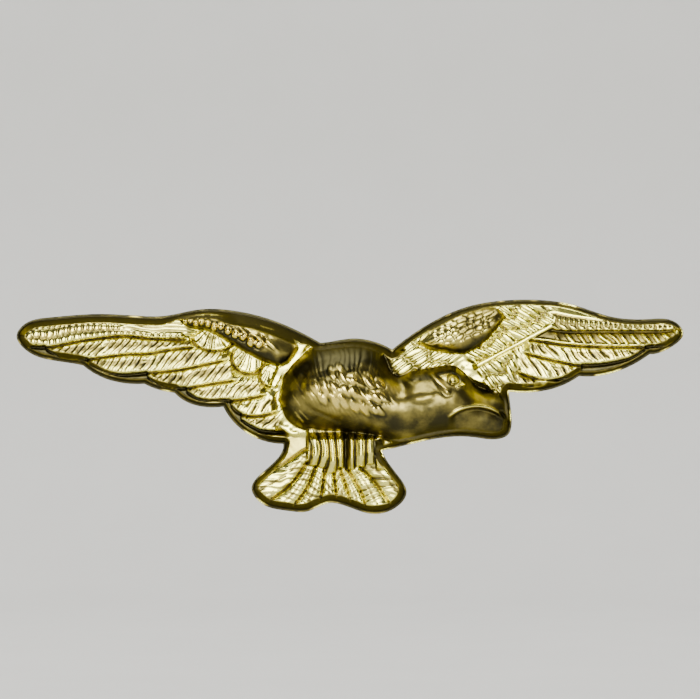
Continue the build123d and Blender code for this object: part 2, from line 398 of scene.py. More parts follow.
@dataclass(frozen=True)
class Swelling:
    """A raised bean between an upper and a lower line, such as a wing's shoulder."""

    top: Points
    bottom: Points
    lift: float
    base: float = FIELD_LEVEL
    lean_down: float = 0.5
    roundness: float = 0.5

    def profile(self, die: Die) -> tuple[Array, Array, Array]:
        """Returns the swelling's dome from 0 to 1, its share across, and its cover."""
        top, _ = through(self.top, die.x)
        bottom, _ = through(self.bottom, die.x)
        width = np.maximum(top - bottom, 1e-3)
        share = (die.z - bottom) / width
        skewed = np.clip(share, 0, 1) ** self.lean_down
        dome = np.clip(1 - (2 * skewed - 1) ** 2, 0, 1) ** self.roundness
        xs = [x for x, _ in self.top + self.bottom]
        middle, half = (max(xs) + min(xs)) / 2, (max(xs) - min(xs)) / 2
        ends = np.clip(1 - ((die.x - middle) / half) ** 4, 0, 1) ** 0.5
        cover = ((share > 0) & (share < 1) & (ends > 0)).astype(float)
        return dome * ends, share, cover


# ---------------------------------------------------------------- wings
@dataclass
class Wing:
    """What both wings share: feathers from the lowest up, an upper edge and a shoulder."""

    feathers: tuple[Feather, ...]
    leading_edge: Points
    shoulder: Swelling

    def strike_feathers(self, die: Die) -> None:
        """Cuts each feather up to the next one's edge, and the last up to the wing's own."""
        above = [feather.edge for feather in self.feathers[1:]] + [self.leading_edge]
        for feather, edge in zip(self.feathers, above):
            feather.strike(die, edge)


@dataclass
class LeftWing(Wing):
    """The wing on the viewer's left: seven long feathers under a pearled shoulder."""

    feathers: tuple[Feather, ...] = (
        Feather(((-9.8, -5.75), (-8.9, -6.3), (-8.2, -6.65), (-7.1, -6.85), (-5.8, -6.9)), -1,
                level=2.15, pitch=0.6),
        Feather(((-10.75, -4.4), (-10.1, -5.05), (-9.3, -5.35), (-8.0, -5.4), (-7.1, -5.2),
                 (-6.2, -4.9)), -1, level=2.25, pitch=0.6),
        Feather(((-14.7, -3.2), (-13.7, -3.85), (-12.5, -4.1), (-11.2, -4.05), (-10.1, -4.0),
                 (-8.9, -3.8), (-7.2, -3.45)), -1, level=2.3),
        Feather(((-18.2, -1.9), (-17.3, -2.55), (-16.1, -2.9), (-14.9, -2.95), (-13.7, -2.75),
                 (-12.1, -2.5), (-9.8, -2.15)), -1, level=2.35),
        Feather(((-23.5, -0.75), (-22.6, -1.25), (-21.0, -1.7), (-19.4, -1.7), (-18.0, -1.55),
                 (-16.1, -1.4), (-14.5, -1.15), (-12.9, -0.8), (-10.6, -0.3)), -1, level=2.4),
        Feather(((-27.3, 0.6), (-25.8, -0.25), (-25.0, -0.38), (-23.4, -0.32), (-21.8, -0.12),
                 (-19.8, 0.12), (-18.1, 0.15), (-16.5, 0.44), (-13.4, 0.8)), -1, level=2.45),
        Feather(((-29.75, 1.5), (-29.3, 0.9), (-28.2, 0.75), (-26.8, 0.78), (-24.2, 1.28),
                 (-21.8, 1.6), (-20.2, 1.72), (-17.7, 1.5), (-14.2, 1.4)), -1,
                Barbs.SCALES, level=2.5, pitch=0.55),
    )
    leading_edge: Points = ((-30.0, 2.0), (-28.0, 2.7), (-24.0, 3.1), (-20.0, 2.85),
                            (-16.5, 2.9), (-10.0, 3.6))
    shoulder: Swelling = Swelling(
        top=((-15.2, 3.3), (-13.6, 3.55), (-11.4, 3.5), (-9.3, 3.05), (-7.6, 2.45),
             (-5.9, 1.9), (-5.0, 1.3), (-4.5, 0.5)),
        bottom=((-15.2, 3.0), (-14.4, 2.5), (-12.7, 2.15), (-11.0, 1.25), (-9.3, 0.25),
                (-7.6, -0.6), (-6.1, -0.95), (-5.1, -0.45), (-4.5, 0.4)),
        lift=2.3, base=2.1, lean_down=0.8,
    )
    coverts: tuple[tuple[float, ...], ...] = (
        (-12.3, 1.35, 1.75, 0.95, -6),
        (-9.1, -0.3, 1.45, 1.35, -22),
        (-7.1, -1.75, 0.95, 1.05, -10),
    )
    pearl_row: Points = ((-15.0, 3.0), (-14.2, 3.0), (-12.9, 2.85), (-11.8, 2.6), (-10.7, 2.2),
                         (-9.9, 1.8), (-9.0, 1.35), (-8.2, 1.05))
    pearl_count: int = 12

    def strike(self, die: Die) -> None:
        """Cuts the wing into the die, from its lowest feather up."""
        self.strike_root(die)
        self.strike_feathers(die)
        self.strike_streaks(die)
        self.strike_coverts(die)
        self.strike_shoulder(die)
        self.strike_valley(die)

    def strike_root(self, die: Die) -> None:
        """Cuts the bright lumpy ground between the feathers and the body."""
        rough = Grain(21).at(die.x / 0.7, die.z / 0.55)
        edge = ((-12.5, -1.5), (-9.0, -3.0), (-7.0, -5.8), (-5.6, -7.1), (-4.0, -8.0))
        low, _ = through(edge, die.x)
        cover = ease(die.x, -12.8, -12.2) * ease(die.z - low, -0.3, 0.3) * ease(die.x, -2.0, -2.6)
        # The lumps' low spots are drawn darker: painted shade, with some patina.
        die.lay(FIELD_LEVEL + 0.12 * rough, cover, 0.22 * ease(rough, -0.2, -0.7))

    def strike_streaks(self, die: Die) -> None:
        """Cuts the long creases between the first feather and the shoulder."""
        low, _ = through(self.feathers[-1].edge, die.x)
        rise = (die.z - low) / 0.34 + 0.3 * Grain(22).at(die.x / 2.0, die.z / 0.6)
        crease = np.abs(np.sin(np.pi * rise))
        cover = ease(die.x, -21.0, -19.6) * ease(die.x, -13.6, -14.8)
        cover *= ease(die.z - low, 0.35, 0.55) * ease(die.edge, 0.4, 0.7)
        # The creases' troughs are drawn dark: painted shade, with some patina.
        die.lay(2.45 + 0.12 * (crease**0.6 - 1), cover, 0.75 * ease(crease, 0.7, 0.2))

    def strike_coverts(self, die: Die) -> None:
        """Cuts the short feathers under the shoulder, each a fan of rays with a round end."""
        for x, z, width, drop, turn in self.coverts:
            turned = math.radians(turn)
            u = ((die.x - x) * math.cos(turned) + (die.z - z) * math.sin(turned)) / width
            v = (-(die.x - x) * math.sin(turned) + (die.z - z) * math.cos(turned)) / drop
            r = np.hypot(u, v)
            # Painted shade: a dark line under each feather's rounded end, and its rays drawn dark
            # in their grooves.
            shade = hill(r - 1.05, 0.065) * ease(v, 0.35, -0.1)
            die.height -= 0.25 * shade
            die.age += (1 - die.age) * shade
            fan = 4.2 * np.arctan2(u, 1.35 - v) + 0.3 * Grain(24).at(die.x, die.z)
            ray = hill((fan - np.round(fan)) * 0.7, 0.1) * chance(np.round(fan), x)
            scale = 2.55 - 0.25 * v - 0.14 * ray + 0.08 * (fan - np.round(fan))
            die.lay(scale, ease(r, 1.0, 0.9), 0.85 * ray)

    def pearls(self) -> list[tuple[float, float, float]]:
        """Returns each pearl's place and size, growing towards the body, a little uneven."""
        found = []
        for n in range(self.pearl_count):
            x = -14.7 + (0.47 + 0.012 * n) * n
            z = float(through(self.pearl_row, np.array([x]))[0][0]) + 0.13 * math.sin(2.3 * n)
            found.append((x, z, 0.23 + 0.016 * n))
        return found

    def strike_shoulder(self, die: Die) -> None:
        """Cuts the shoulder, its row of pearls, its wrinkles and a thin ridge along its top, with
        painted shade on the bean's edges and round the pearls, and painted highlights on the
        pearls, the wrinkles and the ridge.
        """
        bean = self.shoulder
        dome, share, cover = bean.profile(die)
        shape = bean.base + bean.lift * dome
        # Painted shade: the bean is drawn darker towards its lower and upper edges, with random
        # tone.
        tone = 0.6 + 0.35 * ease(share, 0.42, 0.12) + 0.35 * ease(share, 0.72, 0.95)
        tone = tone + 0.15 * Grain(25).at(die.x / 0.8, die.z / 0.6)
        for x, z, size in self.pearls():
            r = np.hypot(die.x - x, (die.z - z) * 0.85) / size
            pearl = np.sqrt(np.clip(1 - r * r, 0, 1))
            shape = shape + 0.34 * pearl - 0.14 * hill(r - 1.2, 0.2)
            # Painted shadow ring round each pearl and painted highlight on its top.
            tone = tone + 0.4 * hill(r - 1.15, 0.18) - 0.75 * ease(pearl, 0.2, 0.7)
        slant = (die.x * 0.9 + die.z * 0.9) / 0.62 + 0.45 * Grain(23).at(die.x, die.z / 0.7)
        wrinkle = ease(np.abs(np.sin(np.pi * slant)), 0.35, 0.95) * ease(share, 0.9, 0.68)
        wrinkle *= ease(share, 0.3, 0.5) * ease(die.x, -10.6, -9.6) * ease(die.x, -6.0, -7.6)
        shape = shape + 0.17 * wrinkle
        # The wrinkles' crests get a painted highlight.
        die.lay(shape, cover, np.clip(tone - 0.5 * wrinkle, 0, 1), 0.8)
        # The glint is a painted highlight on a thin raised line.
        glint = die.distance_to(((-10.9, 3.05), (-9.6, 2.75), (-8.4, 2.2), (-7.6, 1.75)))
        die.height += 0.12 * hill(glint, 0.11)
        die.age -= 0.85 * die.age * hill(glint, 0.09)

    def strike_valley(self, die: Die) -> None:
        """Cuts the bright valley between the shoulder and the body."""
        valley = die.distance_to(((-4.2, 0.9), (-4.7, 0.0), (-5.3, -0.8), (-6.2, -1.35),
                                  (-6.8, -2.6)))
        bright = ease(valley, 0.5, 0.2)
        die.height += (FIELD_LEVEL + 0.1 - die.height) * bright
        die.age -= die.age * bright
        die.bronze -= die.bronze * bright


@dataclass
class RightWing(Wing):
    """The wing on the viewer's right, with a scaled shoulder and a ribbed vane."""

    feathers: tuple[Feather, ...] = (
        Feather(((12.4, -1.9), (14.0, -2.55), (15.3, -2.75), (16.6, -2.7)), 1,
                level=2.2, pitch=0.62),
        Feather(((14.4, -1.2), (15.6, -1.75), (17.3, -2.15), (18.7, -2.15), (20.0, -1.8),
                 (20.8, -1.3)), 1, level=2.3, pitch=0.62, lean=55),
        Feather(((15.2, 0.35), (16.6, -0.05), (18.7, -0.55), (20.2, -0.85), (22.2, -0.85),
                 (24.1, -0.55), (25.6, -0.05), (26.5, 0.6)), 1, level=2.4, pitch=0.72,
                lean=55),
        Feather(((15.4, 1.45), (16.8, 1.3), (19.2, 0.95), (22.2, 0.78), (25.1, 0.75),
                 (27.2, 0.82), (28.6, 1.0), (29.5, 1.5)), 1, Barbs.SLASHES, level=2.45,
                pitch=0.78, lean=52),
        Feather(((17.0, 2.5), (18.6, 2.2), (22.0, 2.15), (26.0, 2.15), (28.4, 2.2),
                 (29.5, 2.4)), 1, Barbs.BEADS, level=2.5, pitch=0.6),
    )
    leading_edge: Points = ((15.0, 4.6), (18.0, 4.2), (20.5, 3.7), (23.0, 3.3), (27.0, 3.0),
                            (29.5, 2.8))
    shoulder: Swelling = Swelling(
        top=((6.1, 1.3), (7.0, 2.2), (8.6, 3.2), (10.4, 3.85), (12.2, 4.2), (13.3, 4.1),
             (13.9, 3.5)),
        bottom=((6.1, 1.0), (7.2, 0.5), (8.7, 0.2), (10.2, 0.15), (11.6, 0.8), (12.9, 2.1),
                (13.9, 3.4)),
        lift=1.7, base=2.1, lean_down=0.75,
    )
    rib: Points = ((11.2, -1.0), (18.2, 2.75))

    def strike(self, die: Die) -> None:
        """Cuts the wing into the die, from its lowest feather up."""
        self.strike_root(die)
        self.strike_feathers(die)
        self.strike_coverts(die)
        self.strike_shoulder(die)

    def strike_root(self, die: Die) -> None:
        """Cuts the lumpy ground beside the neck, and the ground of the coverts."""
        rough = Grain(31).at(die.x / 0.8, die.z / 0.6)
        edge = ((3.5, -1.6), (9.0, -1.5), (12.0, -2.8), (14.5, -3.0), (17.0, -2.6))
        low, _ = through(edge, die.x)
        cover = ease(die.x, 2.6, 3.2) * ease(die.x, 18.8, 17.6) * ease(die.z - low, -0.3, 0.3)
        # The lumps' low spots are drawn darker: painted shade, with some patina.
        die.lay(FIELD_LEVEL + 0.2 + 0.12 * rough, cover, 0.3 * ease(rough, -0.1, -0.7))

    def strike_coverts(self, die: Die) -> None:
        """Cuts three fields of slanting lumps round the rib, then the rib."""
        low, high = np.array(self.rib)
        run = (high - low) / np.linalg.norm(high - low)
        along = (die.x - low[0]) * run[0] + (die.z - low[1]) * run[1]
        above = -(die.x - low[0]) * run[1] + (die.z - low[1]) * run[0]
        behind = ease(above, 0.1, 0.25) * ease(above, 4.4, 3.6) * ease(along, -0.6, 0.3)
        behind *= ease(along, 8.6, 7.8)
        bump = lumps((along + 0.6 * above) / 0.66, above / 1.5 + 0.1, 32, 0.4)
        # The gaps between the lumps are drawn dark: painted shade, here and in the two fields
        # below.
        die.lay(2.25 + 0.3 * bump, behind, 0.7 * ease(bump, 0.35, 0.0))
        near = ease(die.x, 3.2, 3.7) * ease(die.x, 12.4, 11.4)
        near = near * ease(die.z - 0.75 * die.x, -8.2, -7.2)
        across, down = die.x * 0.6 - die.z * 0.8, die.x * 0.62 + die.z * 0.78
        bump = lumps(across / 0.5, down / 1.5, 34, 0.42)
        die.lay(2.25 + 0.2 * bump, near, 0.5 * ease(bump, 0.45, 0.0))
        below = ease(above, -0.2, -0.4) * ease(along, -0.2, 0.4) * ease(die.x, 15.6, 14.6)
        across, down = die.x * 0.75 + die.z * 0.66, die.z * 0.75 - die.x * 0.66
        bump = lumps(across / 0.6, down / 1.6, 36, 0.4)
        die.lay(2.2 + 0.22 * bump, below, 0.7 * ease(bump, 0.5, 0.05))
        proud = ease(np.abs(above + 0.02), 0.27, 0.13)
        die.lay(2.82, proud * ease(along, -0.3, 0.2) * ease(along, 8.1, 7.7))

    def strike_shoulder(self, die: Die) -> None:
        """Cuts the shoulder and the scales on it, with painted shade on its lower side, its lower
        right and between the scales, and painted highlights on the scales.
        """
        bean = self.shoulder
        dome, share, cover = bean.profile(die)
        slope = die.x * 0.85 + die.z * 0.53
        rise = die.z * 0.85 - die.x * 0.53
        scale = lumps(slope / 0.85, rise / 0.6, 33, 0.4) * ease(share, 0.12, 0.35)
        scale = scale * (0.7 + 0.3 * Grain(35).at(die.x / 0.7, die.z / 0.7))
        shape = bean.base + bean.lift * dome + 0.2 * scale
        # Painted shade on the lower side, towards the lower right and between the scales; painted
        # highlights on the scales' tops.
        tone = 0.36 + 0.3 * ease(share, 0.34, 0.1) - 0.3 * ease(scale, 0.3, 0.9)
        tone = tone + 0.4 * ease(rise, -7.0, -8.6) + 0.3 * ease(die.x, 8.5, 11.0)
        die.lay(shape, cover, np.clip(tone, 0, 1), 0.45)


# ---------------------------------------------------------------- tail
@dataclass
class Tail:
    """Two lobes of feathers that fan out from under the thighs."""

    centre: tuple[float, float] = (-1.5, -7.2)
    bounds: tuple[float, ...] = (-62, -43, -29, -14, 0, 13, 25, 41, 60)
    level: float = 2.2
    thighs: tuple[float, float] = (-3.9, 3.05)
    ridges: int = 8

    def strike(self, die: Die) -> None:
        """Cuts the fan, then the thighs' tufts over its root."""
        self.strike_fan(die)
        self.strike_thighs(die)

    def strike_fan(self, die: Die) -> None:
        """Cuts each feather of the fan between its two bounding lines, in degrees from down."""
        dx, dz = die.x - self.centre[0], self.centre[1] - die.z
        radius, angle = np.hypot(dx, dz), np.degrees(np.arctan2(dx, dz))
        angle = angle + 2.0 * np.sin(0.9 * radius) + 1.6 * Grain(55).at(radius / 2.2, angle / 20)
        ground = ease(die.z, -6.9, -7.4) * ease(np.abs(dx), 9.0, 8.6)
        # The low ground under the fan is drawn half dark: painted shade.
        die.lay(self.level - 0.35, ground, 0.5)
        for n, (low, high) in enumerate(zip(self.bounds, self.bounds[1:])):
            share = (angle - low) / (high - low)
            middle = (low + high) / 2
            side = -1 if middle < 0 else 1
            across = np.minimum(share, 1 - share) * (high - low) * radius * math.pi / 180
            shown = (share > -0.5) & (share < 1.5) & (die.z < -7.0)
            groove = hill(across, 0.07) * shown
            die.height -= 0.22 * groove
            # Painted shade in the groove between feathers.
            die.age += (1 - die.age) * 0.8 * groove
            cover = ease(across, 0.0, 0.08) * ease(die.z, -7.0, -7.6)
            lean = math.radians(middle + 38 * side)
            phase = (dx * math.cos(lean) + dz * math.sin(lean)) / 0.5
            phase = phase + 0.4 * Grain(41 + n).at(die.x / 0.9, die.z / 0.9)
            off = phase - np.round(phase)
            line = hill(off * 0.5, 0.07) * chance(np.round(phase), 3.0 * n)
            line = line * ease(radius, 2.2, 3.4)
            blotch = 0.5 + 0.5 * Grain(52 + n).at(die.x / 0.8, die.z / 0.8)
            outer = ease(abs(middle), 28, 46)
            shaft = hill((share - 0.5) * (high - low) / 13, 0.06)
            blade = self.level + 0.3 * np.clip(4 * share * (1 - share), 0, 1) ** 0.6
            blade = blade - 0.13 * line + 0.07 * off - 0.06 * shaft
            # Painted shade in the barb lines and shaft, with random blotches, more on the outer
            # feathers.
            tone = 0.7 * line + 0.5 * shaft + (0.15 + 0.4 * outer) * blotch
            die.lay(blade, cover, np.clip(tone, 0, 1))

    def strike_thighs(self, die: Die) -> None:
        """Cuts the hanging tufts as upright ridges with a rounded lower end."""
        left, right = self.thighs
        share = (die.x - left) / (right - left)
        bow = 0.2 * ease(share, 0.55, 0.2) * np.sin(0.8 * (die.z + 6.8))
        phase = (share + bow / 3.0) * self.ridges + 0.22 * Grain(51).at(die.x / 1.3, die.z / 2.6)
        number = np.floor(phase)
        ridge = np.abs(np.sin(np.pi * phase))
        size = 0.55 + 0.45 * chance(number, 2.0)
        foot = -9.75 - 0.5 * chance(number, 5.0) - 0.35 * hill(share - 0.3, 0.2)
        fall = ease(die.z, foot - 0.15, foot + 1.1)
        gap = hill(share - 0.52, 0.04)
        cover = ease(share, 0.0, 0.03) * ease(share, 1.0, 0.97) * ease(die.z - foot, -0.05, 0.1)
        cover = cover * ease(die.z, -6.3, -6.6)
        under = ease(die.z, -7.55, -6.85)
        fine = 2.3 * phase + 0.25 * die.z + 0.4 * Grain(54).at(die.x, die.z / 1.6)
        split = hill(fine - np.round(fine), 0.16) * chance(np.round(fine), 4.0)
        shape = self.level + 0.15 + 0.9 * fall + (0.55 * size) * ridge**0.8 * (1 - 0.85 * under)
        shape = shape - 0.5 * gap - 0.1 * split - 0.7 * under
        # Painted shade in the troughs, the middle gap and the splits, and a painted shadow where
        # the tufts run under the body; smaller ridges are a little darker.
        tone = 0.9 * ease(ridge, 0.6, 0.24) + 0.6 * gap + 0.45 * split
        tone = tone + 0.25 * (1 - size) + 0.35 * under
        die.lay(shape, cover, np.clip(tone, 0, 1), 0.2)


# ---------------------------------------------------------------- body and head
@dataclass
class Body:
    """The breast, neck and hooked head, which stand highest."""

    back: Points = ((-6.3, -3.7), (-6.1, -2.3), (-5.4, -0.95), (-4.5, 0.0), (-3.15, 1.05),
                    (-1.8, 1.35), (-0.45, 1.44), (1.0, 1.38), (2.2, 1.1), (3.2, 0.4),
                    (3.9, -0.9), (4.4, -2.4))
    belly: Points = ((-6.3, -4.3), (-5.9, -5.6), (-5.4, -6.2), (-4.5, -6.75), (-3.15, -6.95),
                     (-0.45, -7.15), (1.8, -7.35), (3.15, -7.6), (4.4, -7.5))
    nape: Points = ((1.5, -0.9), (3.5, -1.3), (4.7, -1.5), (5.5, -1.15), (6.7, -0.95),
                    (7.9, -0.78), (8.8, -0.7), (9.5, -0.85), (10.2, -1.32), (10.75, -1.96),
                    (11.4, -2.65), (12.3, -3.0), (13.5, -3.1), (14.2, -3.6), (14.5, -4.6))
    throat: Points = ((1.5, -7.3), (3.15, -7.75), (4.05, -8.1), (5.4, -8.06), (6.8, -7.75),
                      (8.8, -7.4), (11.35, -7.43), (12.6, -7.57), (13.8, -7.5), (14.3, -7.0),
                      (14.5, -6.0))
    crest: Points = ((1.5, 6.3), (5.0, 6.2), (8.0, 6.4), (10.0, 6.0), (11.4, 5.2), (13.0, 4.6),
                     (13.8, 4.0), (14.2, 3.2), (14.45, 1.6))
    mouth: Points = ((8.7, -5.42), (9.3, -5.0), (9.95, -4.69), (11.15, -4.46), (12.3, -4.64),
                     (13.0, -4.95), (13.6, -5.35), (14.1, -5.95))
    full_height: float = 6.4
    scratches: int = 9
    raised: Array = field(init=False, repr=False)

    def strike(self, die: Die) -> None:
        """Raises the body, then cuts its plumage, its head and its beak."""
        self.raised = self.strike_mass(die)
        self.strike_breast(die)
        self.strike_hairs(die)
        rng = np.random.default_rng(62)
        self.strike_tufts(die, rng)
        self.strike_strands(die)
        self.strike_scratches(die, rng)
        self.strike_fold(die)
        self.strike_eye(die)
        self.strike_face(die)
        self.strike_mouth(die)

    def breast_height(self, die: Die) -> Array:
        """Returns the height of the rounded body."""
        top, _ = through(self.back, die.x)
        low, _ = through(self.belly, die.x)
        across = (2 * die.z - top - low) / (top - low)
        ends = np.clip(1 - np.abs((die.x + 1.1) / 5.5) ** 2.6, 0, 1)
        return self.full_height * np.sqrt(np.clip(1 - np.abs(across) ** 2.0, 0, 1) * ends)

    def neck_height(self, die: Die, ends: Array) -> tuple[Array, Array]:
        """Returns the height of the neck and head, and their full height along the crest."""
        top, _ = through(self.nape, die.x)
        low, _ = through(self.throat, die.x)
        middle, _ = through(self.crest, die.x)
        across = (2 * die.z - top - low) / (top - low)
        full = 0.97 * middle
        return full * np.sqrt(np.clip(1 - np.abs(across) ** 2.1, 0, 1)) * ends, full

    def strike_mass(self, die: Die) -> Array:
        """Raises the breast's swelling and the neck's, joined, paints shade on them and round
        their foot, and returns where they show.
        """
        breast = self.breast_height(die)
        ends = ease(die.x, -2.0, 2.2) * (die.x < 14.5)
        neck, full = self.neck_height(die, ends)
        joined = 0.5 * (breast + neck + np.sqrt((breast - neck) ** 2 + 1.4 * ends)) - 0.3 * ends
        share = np.maximum(breast / self.full_height, neck / full)
        cover = ease(np.maximum(breast, neck), 1.2, 2.4)
        foot = ease(joined, 1.1, 1.8) * ease(joined, 3.9, 2.5)
        foot = foot * ease(joined - die.height, -0.9, -0.2)
        blotch = Grain(63).at(die.x / 1.3, die.z / 0.9)
        # Painted shade: the body is drawn dark, darker at the top and bottom and on the dome's
        # flanks, a little darker over the head, with random blotches.
        tone = 0.55 + 0.42 * ease(die.z, -2.3, -0.2) + 0.22 * ease(die.z, -4.6, -6.4)
        tone = tone + 0.16 * blotch + 0.22 * ease(die.x, 4.0, 6.0)
        tone = tone + 0.6 * ease(share, 0.86, 0.55) * ease(die.z, -6.4, -4.6)
        cover = cover * ease(joined - die.height, -0.05, 0.3)
        die.lay(joined, cover, np.clip(tone, 0, 1), 1.0)
        # Painted shade: a dark band round the foot of the dome.
        die.age += (0.92 - die.age) * 0.8 * foot
        return cover

    def strike_breast(self, die: Die) -> None:
        """Lifts the round breast muscle out of the body, creases its left edge and paints shade
        into the crease.
        """
        r = np.hypot(die.x + 1.7, (die.z + 3.2) * 1.05)
        die.height += 0.38 * ease(r, 3.1, 1.9)
        crease = die.distance_to(((-3.6, -0.9), (-4.05, -1.44), (-4.3, -2.9), (-4.05, -4.15),
                                  (-3.4, -4.8), (-2.66, -5.1), (-1.1, -5.8)))
        die.height -= 0.16 * hill(crease, 0.22)
        # Painted shade in the crease.
        die.age += 0.3 * hill(crease, 0.3) * (1 - die.age)

    def strike_hairs(self, die: Die) -> None:
        """Cuts the fine hairs that fan out over the back."""
        fan = np.degrees(np.arctan2(die.x - 1.0, die.z + 9.5))
        drift = 0.8 * Grain(61).at(die.x / 0.9, die.z / 1.6)
        hairs = np.abs(np.sin(np.pi * (fan / 3.1 + drift)))
        fine = self.raised * ease(die.x, 5.2, 3.6) * ease(die.z, -3.2, -1.2)
        die.height += 0.06 * (hairs - 0.5) * fine
        # Painted shade between the hairs.
        die.age += 0.22 * ease(hairs, 0.4, 0.0) * fine

    def strike_tufts(self, die: Die, rng: np.random.Generator) -> None:
        """Raises three rows of tufts over the breast, each a little out of line."""
        for z0, count, x0 in ((-1.75, 6, -1.6), (-2.9, 8, -2.9), (-4.1, 7, -2.2)):
            for n in range(count):
                x = x0 + 0.82 * n + rng.uniform(-0.2, 0.2)
                z = z0 - 0.12 * n + rng.uniform(-0.3, 0.3)
                turn = math.radians(66 - 4.0 * n + rng.uniform(-9, 9))
                self.strike_tuft(die, x, z, rng.uniform(0.6, 1.15), turn)

    def strike_tuft(self, die: Die, x: float, z: float, reach: float, turn: float) -> None:
        """Raises one teardrop tuft, with a painted highlight on it and painted shade in the ditch
        round it.

        Args:
            die: the relief to cut.
            x: the tuft's middle.
            z: the tuft's middle.
            reach: half its length.
            turn: its slope downwards to the right, in radians.
        """
        low, high = np.array((x - 1.4, z - 1.4)), np.array((x + 1.4, z + 1.4))
        w = die.window(low, high)
        dx, dz = die.x[w] - x, die.z[w] - z
        u = (dx * math.cos(turn) - dz * math.sin(turn)) / reach
        v = (dx * math.sin(turn) + dz * math.cos(turn)) / (0.34 * (1.15 - 0.35 * u))
        bump = np.clip(1 - u * u - v * v, 0, 1) ** 0.8
        ditch = hill(np.hypot(u, v) - 1.15, 0.22)
        die.height[w] += (0.15 * bump - 0.035 * ditch) * self.raised[w]
        # Painted highlight on the tuft and painted shade in its ditch.
        die.age[w] += (0.12 * ditch - 0.45 * bump) * self.raised[w]

    def strike_strands(self, die: Die) -> None:
        """Cuts the slanting strands over the middle of the breast, with painted highlights on
        their crests and painted shade between them.
        """
        drift = 0.7 * Grain(64).at(die.x / 1.2, die.z / 1.4)
        strand = (die.x * 0.88 + die.z * 0.47) / 0.3 + drift
        strand = np.abs(np.sin(np.pi * strand)) - 0.6
        middle = ease(np.hypot((die.x - 0.4) / 4.4, (die.z + 3.1) / 2.6), 1.1, 0.7) * self.raised
        die.height += 0.035 * strand * middle
        # Painted highlight on the strands' crests and painted shade between them.
        die.age -= 0.16 * strand * middle

    def strike_scratches(self, die: Die, rng: np.random.Generator) -> None:
        """Leaves a few bright scratches on the left of the body."""
        for _ in range(self.scratches):
            x, z = -5.4 + rng.uniform(0, 2.4), -5.4 + rng.uniform(0, 3.2)
            turn = math.radians(rng.uniform(-66, -38))
            reach = rng.uniform(0.3, 1.2)
            ends = ((x, z), (x + reach * math.cos(turn), z + reach * math.sin(turn)))
            mark = hill(die.distance_to(ends), 0.05) * self.raised
            die.height += 0.05 * mark
            die.age -= 0.6 * mark * die.age

    def strike_fold(self, die: Die) -> None:
        """Presses the fold between the breast and the neck and paints shade into it."""
        fold = die.distance_to(((3.3, -0.3), (3.7, -1.3), (4.15, -2.2), (4.8, -2.9)))
        die.height -= 0.42 * hill(fold, 0.5) * self.raised
        # Painted shade in the fold.
        die.age += 0.5 * (1 - die.age) * hill(fold, 0.55)

    def strike_eye(self, die: Die) -> None:
        """Cuts the eye in its flat diamond, with painted shade round the diamond's rim and round
        the ball.
        """
        corners = np.array(((7.8, -1.84), (9.0, -1.5), (10.3, -2.62), (9.4, -2.98)))
        inside = die.within(corners).astype(float)
        rim = die.distance_to(corners, closed=True)
        flat = inside * ease(rim, 0.0, 0.12)
        die.height -= 0.12 * flat + 0.08 * hill(rim, 0.1)
        # The flat is drawn clean gilt and less pink; its rim gets painted shade.
        die.age += (0.05 - die.age) * flat + 0.5 * hill(rim, 0.1) * (1 - die.age)
        die.bronze *= 1 - 0.7 * flat
        r = np.hypot(die.x - 9.2, (die.z + 2.15) * 1.05)
        ball = np.sqrt(np.clip(1 - (r / 0.4) ** 2, 0, 1))
        die.height += 0.3 * ball - 0.16 * hill(r - 0.5, 0.09)
        # Painted shade in the ring round the ball, which is also drawn darker in its middle.
        die.age += 0.7 * hill(r - 0.5, 0.1) + 0.35 * ease(r, 0.4, 0.3)

    def strike_face(self, die: Die) -> None:
        """Cuts the brow, the cheek, the swelling behind it and the nick at the nape, with painted
        highlights on the cheek and the swelling.
        """
        brow = die.distance_to(((6.4, -1.6), (7.6, -1.35), (8.9, -1.2), (9.9, -1.75)))
        die.height += 0.1 * hill(brow, 0.28) * self.raised
        cheek = die.distance_to(((7.3, -1.7), (7.8, -2.4), (8.6, -3.2)))
        die.height += 0.16 * hill(cheek, 0.24) - 0.08 * hill(cheek - 0.4, 0.2)
        # Painted highlight along the cheek.
        die.age -= 0.4 * hill(cheek, 0.2)
        lobe = np.hypot((die.x - 6.2) / 1.5, (die.z + 3.6) / 0.8)
        die.height += 0.2 * ease(lobe, 1.1, 0.3)
        # Painted highlight on the swelling.
        die.age -= 0.25 * ease(lobe, 1.1, 0.3)
        nick = die.distance_to(((5.0, -2.1), (5.6, -2.45), (6.1, -2.2)))
        die.height -= 0.1 * hill(nick, 0.16)

    def strike_mouth(self, die: Die) -> None:
        """Cuts the thin ridge of the mouth and hollows the side of the beak below it, with painted
        shade in the hollow and a painted highlight along the ridge.
        """
        line, _ = through(self.mouth, die.x)
        low, _ = through(self.throat, die.x)
        down = line - die.z
        run = ease(die.x, 8.6, 9.6) * (die.x < 14.4)
        share = np.clip(down / np.maximum(line - low, 0.4), 0, 1)
        scoop = ease(down, 0.06, 0.42) * (1 - share**1.6)
        die.height -= 1.1 * scoop * run
        # Painted shade in the hollow under the mouth.
        die.age += (0.8 - die.age) * ease(down, 0.05, 0.3) * run * (down < 5)
        ridge = hill(down, 0.13) * ease(die.x, 8.5, 9.0) * (die.x < 14.2)
        die.height += 0.16 * ridge
        # Painted highlight along the ridge, which also loses its pink.
        die.age -= die.age * ridge * ease(die.x, 14.2, 12.0) * 0.95
        die.bronze *= 1 - 0.8 * ridge


